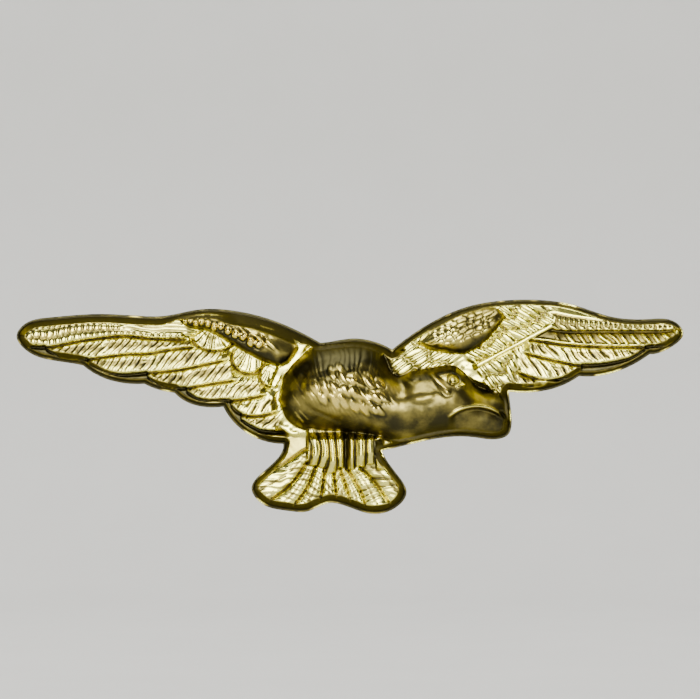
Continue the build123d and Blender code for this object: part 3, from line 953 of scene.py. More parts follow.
# ---------------------------------------------------------------- finishes
class Nodes:
    """A material's nodes, with the few joins that these finishes are made of."""

    def __init__(self, name: str) -> None:
        """Makes a material that holds only a shader and its output."""
        self.material = bpy.data.materials.new(name)
        self.material.use_nodes = True
        self.tree = self.material.node_tree
        self.shader = self.tree.nodes["Principled BSDF"]

    def add(self, kind: str) -> bpy.types.Node:
        """Returns a new node."""
        return self.tree.nodes.new(kind)

    def link(self, start: object, end: object) -> None:
        """Joins two sockets."""
        self.tree.links.new(start, end)

    def feed(self, socket: object, value: object) -> None:
        """Gives a socket either another socket's value or a constant."""
        if isinstance(value, bpy.types.NodeSocket):
            self.link(value, socket)
        elif isinstance(value, tuple):
            socket.default_value = (*value, 1.0)
        else:
            socket.default_value = value

    def attribute(self, name: str) -> bpy.types.NodeSocket:
        """Returns the mesh's own value of that name."""
        node = self.add("ShaderNodeAttribute")
        node.attribute_name = name
        return node.outputs["Fac"]

    def noise(self, where: object, scale: float, detail: float) -> bpy.types.NodeSocket:
        """Returns soft unevenness, about 1/scale metres across."""
        node = self.add("ShaderNodeTexNoise")
        self.link(where, node.inputs["Vector"])
        node.inputs["Scale"].default_value = scale
        node.inputs["Detail"].default_value = detail
        return node.outputs["Fac"]

    def maths(self, what: str, *values: object) -> bpy.types.NodeSocket:
        """Returns the result of a sum."""
        node = self.add("ShaderNodeMath")
        node.operation = what
        for socket, value in zip(node.inputs, values):
            self.feed(socket, value)
        return node.outputs[0]

    def centred(self, value: object) -> bpy.types.NodeSocket:
        """Returns a noise's value from -1 to 1."""
        return self.maths("MULTIPLY_ADD", value, 2.0, -1.0)

    def ramp(self, value: object, low: float, high: float) -> bpy.types.NodeSocket:
        """Returns 0 below low and 1 above high."""
        node = self.add("ShaderNodeMapRange")
        node.interpolation_type = "SMOOTHSTEP"
        self.feed(node.inputs["Value"], value)
        node.inputs["From Min"].default_value = low
        node.inputs["From Max"].default_value = high
        return node.outputs["Result"]

    def blend(self, share: object, first: object, second: object,
              most: float = 1.0) -> bpy.types.NodeSocket:
        """Mixes two colours.

        Args:
            share: how much of the second, from 0 to 1.
            first: a colour or a socket.
            second: a colour or a socket.
            most: scales share.

        Returns:
            The mixed colour.
        """
        node = self.add("ShaderNodeMix")
        node.data_type = "RGBA"
        self.feed(node.inputs[0], self.maths("MULTIPLY", share, most))
        self.feed(node.inputs[6], first)
        self.feed(node.inputs[7], second)
        return node.outputs[2]

    def bump(self, height: object, strength: float, distance: float) -> None:
        """Gives the surface fine relief."""
        node = self.add("ShaderNodeBump")
        node.inputs["Strength"].default_value = strength
        node.inputs["Distance"].default_value = distance
        self.link(height, node.inputs["Height"])
        self.link(node.outputs["Normal"], self.shader.inputs["Normal"])


@dataclass(frozen=True)
class Gilt:
    """Gilding over brass: pale where clean, olive brown to near black where the mesh's darkness
    layer paints patina and shade into grooves, walls and hollows.
    """

    pale: Colour = (0.98, 0.93, 0.21)
    warm: Colour = (0.86, 0.80, 0.30)
    pink: Colour = (0.95, 0.74, 0.17)
    olive: Colour = (0.30, 0.245, 0.06)
    # dark is near black, for the painted shade on walls and in the deepest grooves.
    dark: Colour = (0.042, 0.038, 0.017)
    edge_tint: Colour = (0.52, 0.48, 0.32)
    roughness: float = 0.23

    def material(self) -> bpy.types.Material:
        """Returns the gilding, driven by the mesh's darkness and bronze attributes; the darkness
        carries patina, painted shade and painted highlights.
        """
        nodes = Nodes("gilt_patina_and_shade")
        where = nodes.add("ShaderNodeTexCoord").outputs["Object"]
        age, bronze = nodes.attribute("age"), nodes.attribute("bronze")
        blotch = nodes.noise(where, 900.0, 4.0)
        speck = nodes.noise(where, 4200.0, 3.0)
        blotched = nodes.maths("ADD", age, nodes.maths("MULTIPLY", nodes.centred(blotch), 0.22))
        blotched = nodes.maths("ADD", blotched, nodes.maths("MULTIPLY", nodes.centred(speck), 0.08))
        metal = nodes.blend(bronze, self.pale, self.pink)
        metal = nodes.blend(nodes.ramp(blotch, 0.45, 0.75), metal, self.warm, 0.45)
        # olive and dark follow the darkness layer: patina with painted shade, plus random
        # blotches.
        metal = nodes.blend(nodes.ramp(blotched, 0.1, 0.6), metal, self.olive)
        colour = nodes.blend(nodes.ramp(blotched, 0.5, 0.98), metal, self.dark)
        nodes.link(colour, nodes.shader.inputs["Base Color"])
        nodes.shader.inputs["Metallic"].default_value = 1.0
        nodes.shader.inputs["Specular Tint"].default_value = (*self.edge_tint, 1.0)
        rough = nodes.maths("MULTIPLY_ADD", blotched, 0.16, self.roughness)
        nodes.link(rough, nodes.shader.inputs["Roughness"])
        nodes.bump(nodes.noise(where, 2600.0, 5.0), 0.35, 0.00003)
        return nodes.material


@dataclass(frozen=True)
class BareMetal:
    """Unpolished metal with stains, fine scratches and a grain that its use has left."""

    name: str
    clean: Colour
    stained: Colour
    roughness: float
    stain_size: float
    grain_size: float
    dent: float
    low: float = 0.4
    high: float = 0.7

    def material(self) -> bpy.types.Material:
        """Returns the metal's material."""
        nodes = Nodes(self.name)
        where = nodes.add("ShaderNodeTexCoord").outputs["Object"]
        stain = nodes.noise(where, 1 / self.stain_size, 5.0)
        grain = nodes.noise(where, 1 / self.grain_size, 4.0)
        share = nodes.ramp(nodes.maths("MULTIPLY_ADD", nodes.centred(grain), 0.25, stain),
                           self.low, self.high)
        nodes.link(nodes.blend(share, self.clean, self.stained), nodes.shader.inputs["Base Color"])
        nodes.shader.inputs["Metallic"].default_value = 1.0
        nodes.link(nodes.maths("MULTIPLY_ADD", share, 0.25, self.roughness),
                   nodes.shader.inputs["Roughness"])
        nodes.bump(grain, 0.5, self.dent)
        return nodes.material


COPPER = BareMetal("tarnished_copper", (0.56, 0.29, 0.13), (0.14, 0.08, 0.045), roughness=0.36,
                   stain_size=0.0016, grain_size=0.0002, dent=0.00003)
BRAZE = BareMetal("heat_stained_braze", (0.50, 0.40, 0.20), (0.08, 0.06, 0.045), roughness=0.42,
                  stain_size=0.0007, grain_size=0.00015, dent=0.00006)
PIN_BRASS = BareMetal("drawn_brass", (0.74, 0.54, 0.15), (0.26, 0.18, 0.06), roughness=0.30,
                      stain_size=0.0022, grain_size=0.00018, dent=0.00002)


# ---------------------------------------------------------------- the struck eagle
@dataclass
class EagleShell:
    """The struck sheet: relief in front, a lipped rim, and a hollow back with its wall.

    slope is how steeply the wall rises from the lip, and top_slope, tail_slope and body_slope
    are what it gains over the right wing, beside the tail and along the body. The drafts are
    the steepest slopes that the sheet may take in front and behind.
    """

    rise: float = 0.4
    drawn_top: float = 4.9985
    wall: float = 0.95
    thinnest: float = 0.42
    rim_width: float = 0.85
    slope: float = 3.2
    top_slope: float = 3.5
    tail_slope: float = 3.0
    body_slope: float = 14.0
    front_draft: float = 7.0
    back_draft: float = 2.4
    edge_spacing: float = 0.09
    lattice: float = 0.0915
    back_lattice: float = 0.22
    seat_radius: float = 1.45
    seat_level: float = 1.0
    seats: Points = ((-12.0, 1.3), (-12.0, -2.1), (12.0, 1.3), (12.0, -2.1))
    wings: tuple[LeftWing, RightWing] = field(default_factory=lambda: (LeftWing(), RightWing()))
    tail: Tail = field(default_factory=Tail)
    body: Body = field(default_factory=Body)
    finish: Gilt = field(default_factory=Gilt)

    def outline(self) -> Array:
        """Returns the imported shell's rim as a closed anticlockwise loop of drawn points."""
        outer = max(self.rim_loops(), key=lambda loop: np.ptp(loop[:, 0]))
        outer = outer - np.array((0.0, outer[:, 1].max() - self.drawn_top))
        ahead = np.roll(outer, -1, axis=0)
        area = np.sum(outer[:, 0] * ahead[:, 1] - ahead[:, 0] * outer[:, 1])
        return self.spaced(outer if area > 0 else outer[::-1])

    def rim_loops(self) -> list[Array]:
        """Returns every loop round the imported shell's flat rim, made of its unshared edges."""
        mesh = bpy.data.objects["eagle_shell"].data
        mesh.calc_loop_triangles()
        corners = np.empty(len(mesh.vertices) * 3)
        mesh.vertices.foreach_get("co", corners)
        faces = np.empty(len(mesh.loop_triangles) * 3, int)
        mesh.loop_triangles.foreach_get("vertices", faces)
        places = np.round(corners.reshape(-1, 3) * 1000, 3)
        keys, merged = np.unique(places, axis=0, return_inverse=True)
        faces = merged.reshape(-1)[faces].reshape(-1, 3)
        rim = faces[(np.abs(keys[faces][:, :, 1]) < 0.002).all(axis=1)]
        single: dict[tuple[int, int], bool] = {}
        for a, b, c in rim:
            for edge in ((a, b), (b, c), (c, a)):
                if edge[::-1] in single:
                    del single[edge[::-1]]
                else:
                    single[edge] = True
        after = dict(single.keys())
        loops = []
        while after:
            start = at = next(iter(after))
            loop = []
            while at in after:
                loop.append(at)
                at = after.pop(at)
                if at == start:
                    break
            loops.append(keys[loop][:, [0, 2]])
        return loops

    def spaced(self, loop: Array) -> Array:
        """Spreads a loop's points evenly, keeping its sharp corners."""
        ahead = np.roll(loop, -1, axis=0) - loop
        behind = loop - np.roll(loop, 1, axis=0)
        turn = np.abs(np.arctan2(behind[:, 0] * ahead[:, 1] - behind[:, 1] * ahead[:, 0],
                                 (behind * ahead).sum(axis=1)))
        sharp = [int(k) for k in np.nonzero(turn > 0.4)[0]] or [0]
        closed = np.vstack((loop, loop[:1]))
        length = np.concatenate(([0.0], np.cumsum(np.hypot(*np.diff(closed, axis=0).T))))
        stops = sharp + [sharp[0] + len(loop)]
        points = []
        for a, b in zip(stops, stops[1:]):
            start = length[a]
            end = length[b] if b <= len(loop) else length[-1] + length[b - len(loop)]
            count = max(1, round((end - start) / self.edge_spacing))
            places = (start + (end - start) * np.arange(count) / count) % length[-1]
            points.append(np.column_stack([np.interp(places, length, closed[:, k])
                                           for k in (0, 1)]))
        return np.vstack(points)

    def strike(self, outline: Array) -> Die:
        """Cuts the whole relief.

        Args:
            outline: the trimmed edge.

        Returns:
            The finished die.
        """
        die = Die(outline)
        for part in (*self.wings, self.tail, self.body):
            part.strike(die)
            LOG.info("struck the %s", type(part).__name__)
        self.roughen(die)
        self.trim(die)
        return die

    def roughen(self, die: Die) -> None:
        """Adds the unevenness that a worn die and handling leave."""
        die.height += 0.035 * Grain(71).at(die.x / 1.4, die.z / 1.1)
        die.height += 0.018 * Grain(72).at(die.x / 0.42, die.z / 0.36)
        die.age += 0.10 * Grain(73).at(die.x / 2.2, die.z / 1.5)

    def trim(self, die: Die) -> None:
        """Lets the relief fall to the thin lip that the trimming tool left, paints shade over the
        walls that this cuts and a highlight along their crest, and draws the lip dark.
        """
        right_top = ease(die.x, 3.4, 4.4) * ease(die.z - 0.06 * die.x, 0.0, 0.5)
        left_top = ease(die.x, -3.6, -4.4) * ease(die.z, 0.0, 0.6)
        left_top = left_top * (2.4 * ease(die.x, -17.0, -15.0) - 3.3 * ease(die.x, -13.0, -10.0))
        tail_sides = ease(die.z, -7.6, -8.4) * ease(die.z, -12.4, -11.6)
        slope = self.slope + self.top_slope * right_top + left_top + self.tail_slope * tail_sides
        slope = slope + self.body_slope * ease(die.bronze, 0.85, 0.95) * (die.height > 2.6)
        wall = LIP_HEIGHT + slope * np.maximum(die.edge - LIP_WIDTH, 0)
        wall = wall + 9.0 * ease(die.edge, 1.1, 1.9)
        below = ease(die.height - wall, -0.12, 0.12)
        crest = hill(die.height - wall - 0.02, 0.12) * die.inside
        die.height = drafted(np.minimum(die.height, wall), self.front_draft, die.STEP, rounds=16)
        # Painted shade: the walls are drawn fully dark, with some patina.
        die.age += (1.0 - die.age) * below
        # Painted highlight: a bright line along the walls' crest.
        die.age -= die.age * (0.6 + 0.35 * right_top) * crest * (die.height < 3.0)
        # The lip is drawn dark, a dark outline lighter in blotches.
        lip = ease(die.edge, LIP_WIDTH + 0.03, LIP_WIDTH - 0.06)
        blotched = ease(Grain(74).at(die.x / 1.5, die.z / 1.1), 0.25, 0.7)
        die.age += (0.95 - 0.8 * blotched - die.age) * lip
        die.age = np.clip(die.age, 0, 1)

    def build(self) -> bpy.types.Object:
        """Strikes the relief and returns the shell as one closed mesh in metres."""
        outline = self.outline()
        die = self.strike(outline)
        front, front_faces = self.filled(die, outline, self.lattice, 0.45 * self.lattice)
        back, back_faces = self.filled(die, outline, self.back_lattice, 0.5 * self.back_lattice)
        count = len(outline)
        height = die.read(die.height, *front.T)
        height[:count] = LIP_HEIGHT
        depth = die.read(self.hollow(die), *back.T)
        depth[:count] = 0.0
        x = np.concatenate((front[:, 0], back[:, 0]))
        z = np.concatenate((front[:, 1], back[:, 1])) + self.rise
        y = -np.concatenate((height, depth))
        base = len(front)
        k = np.arange(count)
        after = (k + 1) % count
        walls = np.vstack((np.column_stack((k, base + k, base + after)),
                           np.column_stack((k, base + after, after))))
        faces = np.vstack((front_faces, walls, back_faces[:, ::-1] + base))
        piece = make_piece("eagle_relief", np.column_stack((x, y, z)) * MM, faces)
        self.colour(piece, die, front, back)
        LOG.info("eagle: %d triangles", len(faces))
        return piece

    def colour(self, piece: bpy.types.Object, die: Die, front: Array, back: Array) -> None:
        """Puts each point's darkness and bronze on the mesh, and gives it the gilding.

        Args:
            piece: the shell.
            die: the relief, for the front's values.
            front: the front's points.
            back: the back's points, which follow the front's in the mesh.
        """
        # The back is drawn dull and darker towards the middle of the hollow: tarnish, with painted
        # shade deeper in.
        inner = 0.62 + 0.22 * ease(die.read(blurred(die.edge, 6), *back.T), 0.8, 1.5)
        inner = inner + 0.12 * Grain(75).at(back[:, 0] / 1.8, back[:, 1] / 1.2)
        age = np.concatenate((die.read(die.age, *front.T), np.clip(inner, 0.2, 0.95)))
        bronze = np.concatenate((die.read(die.bronze, *front.T), np.full(len(back), 0.7)))
        for name, values in (("age", age), ("bronze", bronze)):
            layer = piece.data.attributes.new(name, "FLOAT", "POINT")
            layer.data.foreach_set("value", values.astype(np.float32))
        piece.data.materials.append(self.finish.material())

    def hollow(self, die: Die) -> Array:
        """Returns the back's height map: a flat rim, and a hollow that follows the front."""
        soft = blurred(np.where(die.inside, die.height, 0.5), 7.0) - self.wall
        thin = die.height.copy()
        for k in (-4, -2, 2, 4):
            for axis in (0, 1):
                thin = np.minimum(thin, np.roll(die.height, k, axis=axis))
        ceiling = np.clip(np.minimum(soft, thin - self.thinnest), 0.0, 6.0)
        for x, z in self.seats:
            seat = ease(np.hypot(die.x - x, die.z - z), self.seat_radius + 0.5, self.seat_radius)
            ceiling += (np.minimum(self.seat_level, thin - 0.1) - ceiling) * seat
        ceiling = ceiling * ease(die.edge, self.rim_width, self.rim_width + 0.45) * die.inside
        return drafted(ceiling, self.back_draft, die.STEP, rounds=40)

    def filled(self, die: Die, outline: Array, pitch: float, clear: float) -> tuple[Array, Array]:
        """Fills the outline with near-even triangles.

        Args:
            die: gives the distance to the edge.
            outline: the edge, which the triangles keep.
            pitch: the distance between points.
            clear: how near the edge a point may lie.

        Returns:
            The points, the outline's first, and the triangles, anticlockwise from the front.
        """
        rows = np.arange(die.LOW[1], die.HIGH[1], pitch * math.sqrt(3) / 2)
        columns = np.arange(die.LOW[0], die.HIGH[0], pitch)
        x, z = np.meshgrid(columns, rows)
        x = x + (np.arange(len(rows))[:, None] % 2) * pitch / 2
        x, z = x.ravel(), z.ravel()
        i = np.clip(((x - die.LOW[0]) / die.STEP).round().astype(int), 0, die.x.shape[1] - 1)
        j = np.clip(((z - die.LOW[1]) / die.STEP).round().astype(int), 0, die.x.shape[0] - 1)
        keep = die.inside[j, i] & (die.read(die.edge, x, z) > clear)
        points = np.vstack((outline, np.column_stack((x[keep], z[keep]))))
        count = len(outline)
        edges = [(k, (k + 1) % count) for k in range(count)]
        found = delaunay_2d_cdt([Vector(p) for p in points], edges, [], 1, 1e-7)
        if len(found[0]) != len(points):
            raise ValueError(f"the filling changed {len(points)} points to {len(found[0])}")
        places = np.array([tuple(p) for p in found[0]])
        faces = np.array(found[2])
        a, b, c = (places[faces[:, k]] for k in range(3))
        turn = ((b[:, 0] - a[:, 0]) * (c[:, 1] - a[:, 1])
                - (b[:, 1] - a[:, 1]) * (c[:, 0] - a[:, 0]))
        faces[turn < 0] = faces[turn < 0][:, ::-1]
        return places, faces


def make_piece(name: str, places: Array, faces: Array) -> bpy.types.Object:
    """Makes a smooth-shaded object.

    Args:
        name: its name.
        places: its points, in metres.
        faces: its triangles, as rows of point numbers.

    Returns:
        The object, in the scene.
    """
    mesh = bpy.data.meshes.new(name)
    mesh.vertices.add(len(places))
    mesh.vertices.foreach_set("co", places.astype(np.float32).ravel())
    mesh.loops.add(len(faces) * 3)
    mesh.loops.foreach_set("vertex_index", faces.astype(np.int32).ravel())
    mesh.polygons.add(len(faces))
    mesh.polygons.foreach_set("loop_start", np.arange(0, 3 * len(faces), 3, dtype=np.int32))
    mesh.update(calc_edges=True)
    mesh.validate()
    mesh.polygons.foreach_set("use_smooth", np.ones(len(faces), bool))
    piece = bpy.data.objects.new(name, mesh)
    bpy.context.scene.collection.objects.link(piece)
    return piece


# ---------------------------------------------------------------- the fixings behind
class GeometryTree:
    """A Geometry Nodes tree with named sizes, run once on a piece and then removed."""

    def __init__(self, name: str, **sizes: float) -> None:
        """Starts a tree.

        Args:
            name: the tree's name.
            sizes: each named input's value.
        """
        self.tree = bpy.data.node_groups.new(name, "GeometryNodeTree")
        face = self.tree.interface
        face.new_socket("Geometry", in_out="INPUT", socket_type="NodeSocketGeometry")
        face.new_socket("Geometry", in_out="OUTPUT", socket_type="NodeSocketGeometry")
        self.sizes = {}
        for title, value in sizes.items():
            kind = "NodeSocketInt" if isinstance(value, int) else "NodeSocketFloat"
            socket = face.new_socket(title.replace("_", " ").capitalize(), in_out="INPUT",
                                     socket_type=kind)
            self.sizes[socket.identifier] = value
        self.given = self.tree.nodes.new("NodeGroupInput")
        self.names = dict(zip(sizes, self.given.outputs[1:]))

    def add(self, kind: str, setting: dict[str, object] | None = None,
            **inputs: object) -> bpy.types.Node:
        """Adds a node.

        Args:
            kind: the node's type.
            setting: its own properties.
            inputs: its inputs by name, as sockets, constants or the names of sizes.

        Returns:
            The node.
        """
        shared = kind.startswith(("Shader", "Function"))
        node = self.tree.nodes.new(kind if shared else "GeometryNode" + kind)
        for title, value in (setting or {}).items():
            setattr(node, title, value)
        for title, value in inputs.items():
            socket = node.inputs[title.replace("_", " ").title()]
            if isinstance(value, str) and kind != "InputNamedAttribute":
                value = self.names[value]
            if isinstance(value, bpy.types.NodeSocket):
                self.tree.links.new(value, socket)
            else:
                socket.default_value = value
        return node

    def uneven(self, shape: object, amount: object, grain: float) -> object:
        """Returns the shape with its surface pushed in and out a little."""
        noise = self.add("ShaderNodeTexNoise", Scale=grain, Detail=2.0)
        centred = self.add("ShaderNodeMath", {"operation": "SUBTRACT"})
        self.tree.links.new(noise.outputs["Fac"], centred.inputs[0])
        centred.inputs[1].default_value = 0.5
        sized = self.add("ShaderNodeMath", {"operation": "MULTIPLY"})
        self.tree.links.new(centred.outputs[0], sized.inputs[0])
        self.tree.links.new(amount, sized.inputs[1])
        push = self.add("ShaderNodeVectorMath", {"operation": "SCALE"})
        self.tree.links.new(self.add("InputNormal").outputs[0], push.inputs[0])
        self.tree.links.new(sized.outputs[0], push.inputs["Scale"])
        moved = self.add("SetPosition", Geometry=shape, Offset=push.outputs[0])
        return moved.outputs[0]

    def run(self, start: bpy.types.Object, shape: object, metal: bpy.types.Material,
            name: str) -> bpy.types.Object:
        """Ends the tree, runs it and keeps the result as a plain mesh.

        Args:
            start: the object that the tree works on, which is thrown away.
            shape: the tree's last socket.
            metal: the finish.
            name: the piece's name.

        Returns:
            The finished piece.
        """
        real = self.add("RealizeInstances", Geometry=shape)
        dressed = self.add("SetMaterial", Geometry=real.outputs[0], Material=metal)
        last = self.tree.nodes.new("NodeGroupOutput")
        self.tree.links.new(dressed.outputs[0], last.inputs[0])
        maker = start.modifiers.new("maker", "NODES")
        maker.node_group = self.tree
        for identifier, value in self.sizes.items():
            maker[identifier] = value
        bpy.context.view_layer.update()
        ready = start.evaluated_get(bpy.context.evaluated_depsgraph_get())
        mesh = bpy.data.meshes.new_from_object(ready)
        start.modifiers.remove(maker)
        bpy.data.objects.remove(start)
        mesh.name = name
        piece = bpy.data.objects.new(name, mesh)
        bpy.context.scene.collection.objects.link(piece)
        LOG.info("%s: %d faces", name, len(mesh.polygons))
        return piece


def path_object(points: list[Place], fullness: list[float]) -> bpy.types.Object:
    """Makes an open line of points in millimetres, with how full the wire is at each."""
    mesh = bpy.data.meshes.new("path")
    mesh.from_pydata([tuple(v * MM for v in p) for p in points],
                     [(k, k + 1) for k in range(len(points) - 1)], [])
    layer = mesh.attributes.new("fullness", "FLOAT", "POINT")
    layer.data.foreach_set("value", fullness)
    line = bpy.data.objects.new("path", mesh)
    bpy.context.scene.collection.objects.link(line)
    return line


def arc(centre: tuple[float, float], radius: float, start: float, end: float,
        count: int) -> list[tuple[float, float]]:
    """Returns points on an arc, from one angle to another in degrees, ends included."""
    turns = [math.radians(start + (end - start) * k / count) for k in range(count + 1)]
    return [(centre[0] + radius * math.cos(t), centre[1] + radius * math.sin(t)) for t in turns]


@dataclass
class Lug:
    """A loop of round copper wire whose two feet are brazed into the hollow back."""

    x: float
    side: str
    wire: float = 1.3
    half_width: float = 1.7
    foot: float = -0.98
    axis: float = 3.2
    unevenness: float = 0.045
    braze_spread: float = 0.62
    braze_height: float = 0.8
    braze_sink: float = 0.03

    def build_wire(self, metal: bpy.types.Material) -> bpy.types.Object:
        """Bends the wire along its path."""
        reach = self.axis - self.foot
        loop = [(self.foot + reach * k / 12, self.half_width) for k in range(12)]
        loop += arc((self.axis, 0.0), self.half_width, 90, -90, 36)
        loop += [(self.axis - reach * k / 12, -self.half_width) for k in range(1, 13)]
        points = [(self.x, y, z) for y, z in loop]
        line = path_object(points, [1.0] * len(points))
        tree = GeometryTree("bent_wire", wire_radius=self.wire / 2 * MM, sides=32,
                            unevenness=self.unevenness * MM)
        curve = tree.add("MeshToCurve", Mesh=tree.given.outputs[0])
        profile = tree.add("CurvePrimitiveCircle", Resolution="sides", Radius="wire_radius")
        swept = tree.add("CurveToMesh", Curve=curve.outputs[0], Profile_Curve=profile.outputs[0],
                         Fill_Caps=True)
        smooth = tree.add("SetShadeSmooth", Geometry=swept.outputs[0])
        shape = tree.uneven(smooth.outputs[0], tree.names["unevenness"], 1100.0)
        return tree.run(line, shape, metal, f"lug_{self.side}_wire")

    def fillet_section(self, flow: float, rings: int) -> list[tuple[float, float]]:
        """Works out one slice through a foot's braze.

        Args:
            flow: how freely the braze ran here, from -1 to 1.
            rings: the steps down its hollow slope.

        Returns:
            The slice's corners, as distances from the wire's middle and heights.
        """
        spread = self.braze_spread * (0.95 + 0.16 * flow)
        height = self.braze_height * (0.93 + 0.12 * flow)
        inner = self.wire / 2 - 0.12
        slope = [(self.wire / 2 - 0.02 + spread * (1 - k / rings) ** 2,
                  height * (k / rings) ** 1.9) for k in range(rings + 1)]
        return slope + [(inner, height * 0.9), (inner, -self.braze_sink),
                        (self.wire / 2 + spread - 0.03, -self.braze_sink)]

    def build_fillets(self) -> bpy.types.Object:
        """Flows a ring of braze round each foot, uneven in its spread and height."""
        grain = Grain(81 if self.x < 0 else 82)
        around, rings = 56, 12
        places, faces = [], []
        for side in (1, -1):
            base = len(places)
            for n in range(around):
                turn = 2 * math.pi * n / around
                across, along = 3 + 2.2 * math.cos(turn), side * 5 + 2.2 * math.sin(turn)
                flow = float(grain.at(np.array(across), np.array(along)))
                section = self.fillet_section(flow, rings)
                for out, up in section:
                    places.append((self.x + out * math.cos(turn), self.foot + up,
                                   side * self.half_width + out * math.sin(turn)))
            row = len(section)
            for n in range(around):
                a, b = base + n * row, base + (n + 1) % around * row
                for k in range(row):
                    j = (k + 1) % row
                    faces += [(a + k, b + j, b + k), (a + k, a + j, b + j)]
        return make_piece("fillet", np.array(places) * MM, np.array(faces))

    def build_braze(self, metal: bpy.types.Material) -> bpy.types.Object:
        """Roughens the braze and scatters small beads where it spattered."""
        piece = self.build_fillets()
        tree = GeometryTree("braze_beads", bead_density=3.2e6, bead_radius=0.11 * MM, seed=7,
                            unevenness=0.09 * MM)
        shape = tree.uneven(tree.given.outputs[0], tree.names["unevenness"], 1500.0)
        where = tree.add("DistributePointsOnFaces", {"distribute_method": "RANDOM"},
                         Mesh=shape, Density="bead_density", Seed="seed")
        bead = tree.add("MeshIcoSphere", Radius="bead_radius", Subdivisions=2)
        rounded = tree.add("SetShadeSmooth", Geometry=bead.outputs[0])
        size = tree.add("FunctionNodeRandomValue", Seed="seed")
        size.inputs[2].default_value, size.inputs[3].default_value = 0.45, 1.0
        beads = tree.add("InstanceOnPoints", Points=where.outputs[0], Instance=rounded.outputs[0],
                         Scale=size.outputs[1])
        both = tree.tree.nodes.new("GeometryNodeJoinGeometry")
        for part in (shape, beads.outputs[0]):
            tree.tree.links.new(part, both.inputs[0])
        return tree.run(piece, both.outputs[0], metal, f"lug_{self.side}_braze")


@dataclass
class SplitPin:
    """Half-round brass wire, folded into an eye and two legs that lie flat to flat."""

    neck_x: float = 14.15
    tip_x: float = -17.15
    step: float = 2.0
    gap: float = 0.05
    spread: float = 0.12
    neck_radius: float = 1.3
    eye_radius: float = 1.4
    radius: float = 0.8
    axis: float = 3.2
    unevenness: float = 0.025

    def path(self) -> list[tuple[float, float]]:
        """Returns the wire's line, from the long leg's tip round the eye to the short one's."""
        lean = math.asin(self.spread / (self.neck_x - self.tip_x))
        bend = (self.neck_x + self.neck_radius * math.sin(lean),
                self.gap + self.neck_radius * math.cos(lean))
        eye_x = bend[0] + math.sqrt((self.neck_radius + self.eye_radius) ** 2 - bend[1] ** 2)
        drop = math.degrees(math.atan2(-bend[1], eye_x - bend[0]))
        run = self.neck_x - self.tip_x
        leg = [(self.tip_x + run * k / 40, self.gap + self.spread * (1 - k / 40))
               for k in range(40)]
        upper = leg + arc(bend, self.neck_radius, -90 - math.degrees(lean), drop, 14)[:-1]
        half = arc((eye_x, 0.0), self.eye_radius, 180 + drop, 0, 28)
        lower = [(x, -z) for x, z in reversed(upper + half[:-1]) if x > self.tip_x + self.step]
        return upper + half + lower

    def build(self, metal: bpy.types.Material) -> bpy.types.Object:
        """Sweeps the half-round section along the wire's line, rounded off at both tips."""
        line = self.path()
        tip, inner = np.array(line[0]), np.array(line[1])
        tip_end, inner_end = np.array(line[-1]), np.array(line[-2])
        full = [0.62, 0.86, 1.0]
        near = [tuple(tip + (inner - tip) * s) for s in (0.0, 0.1, 0.3)]
        far = [tuple(tip_end + (inner_end - tip_end) * s) for s in (0.3, 0.1, 0.0)]
        points = near + line[1:-1] + far
        flat = path_object([(x, z, 0.0) for x, z in points],
                           full + [1.0] * (len(line) - 2) + full[::-1])
        tree = GeometryTree("half_round_wire", wire_radius=self.radius * MM, corner=0.1 * MM,
                            unevenness=self.unevenness * MM)
        curve = tree.add("MeshToCurve", Mesh=tree.given.outputs[0])
        upright = tree.add("SetCurveNormal", {"mode": "Z_UP"}, Curve=curve.outputs[0])
        section = tree.add("CurveArc", Resolution=22, Radius="wire_radius",
                           Start_Angle=math.pi / 2, Sweep_Angle=math.pi)
        closed = tree.add("SetSplineCyclic", Geometry=section.outputs[0], Cyclic=True)
        eased = tree.add("FilletCurve", {"mode": "POLY"}, Curve=closed.outputs[0], Count=3,
                         Radius="corner", Limit_Radius=True)
        fullness = tree.add("InputNamedAttribute", Name="fullness")
        swept = tree.add("CurveToMesh", Curve=upright.outputs[0], Profile_Curve=eased.outputs[0],
                         Scale=fullness.outputs[0], Fill_Caps=True)
        smooth = tree.add("SetShadeSmooth", Geometry=swept.outputs[0])
        stood = tree.add("Transform", Geometry=smooth.outputs[0],
                         Rotation=(math.pi / 2, 0.0, 0.0), Translation=(0.0, self.axis * MM, 0.0))
        shape = tree.uneven(stood.outputs[0], tree.names["unevenness"], 900.0)
        return tree.run(flat, shape, metal, "pin_wire")


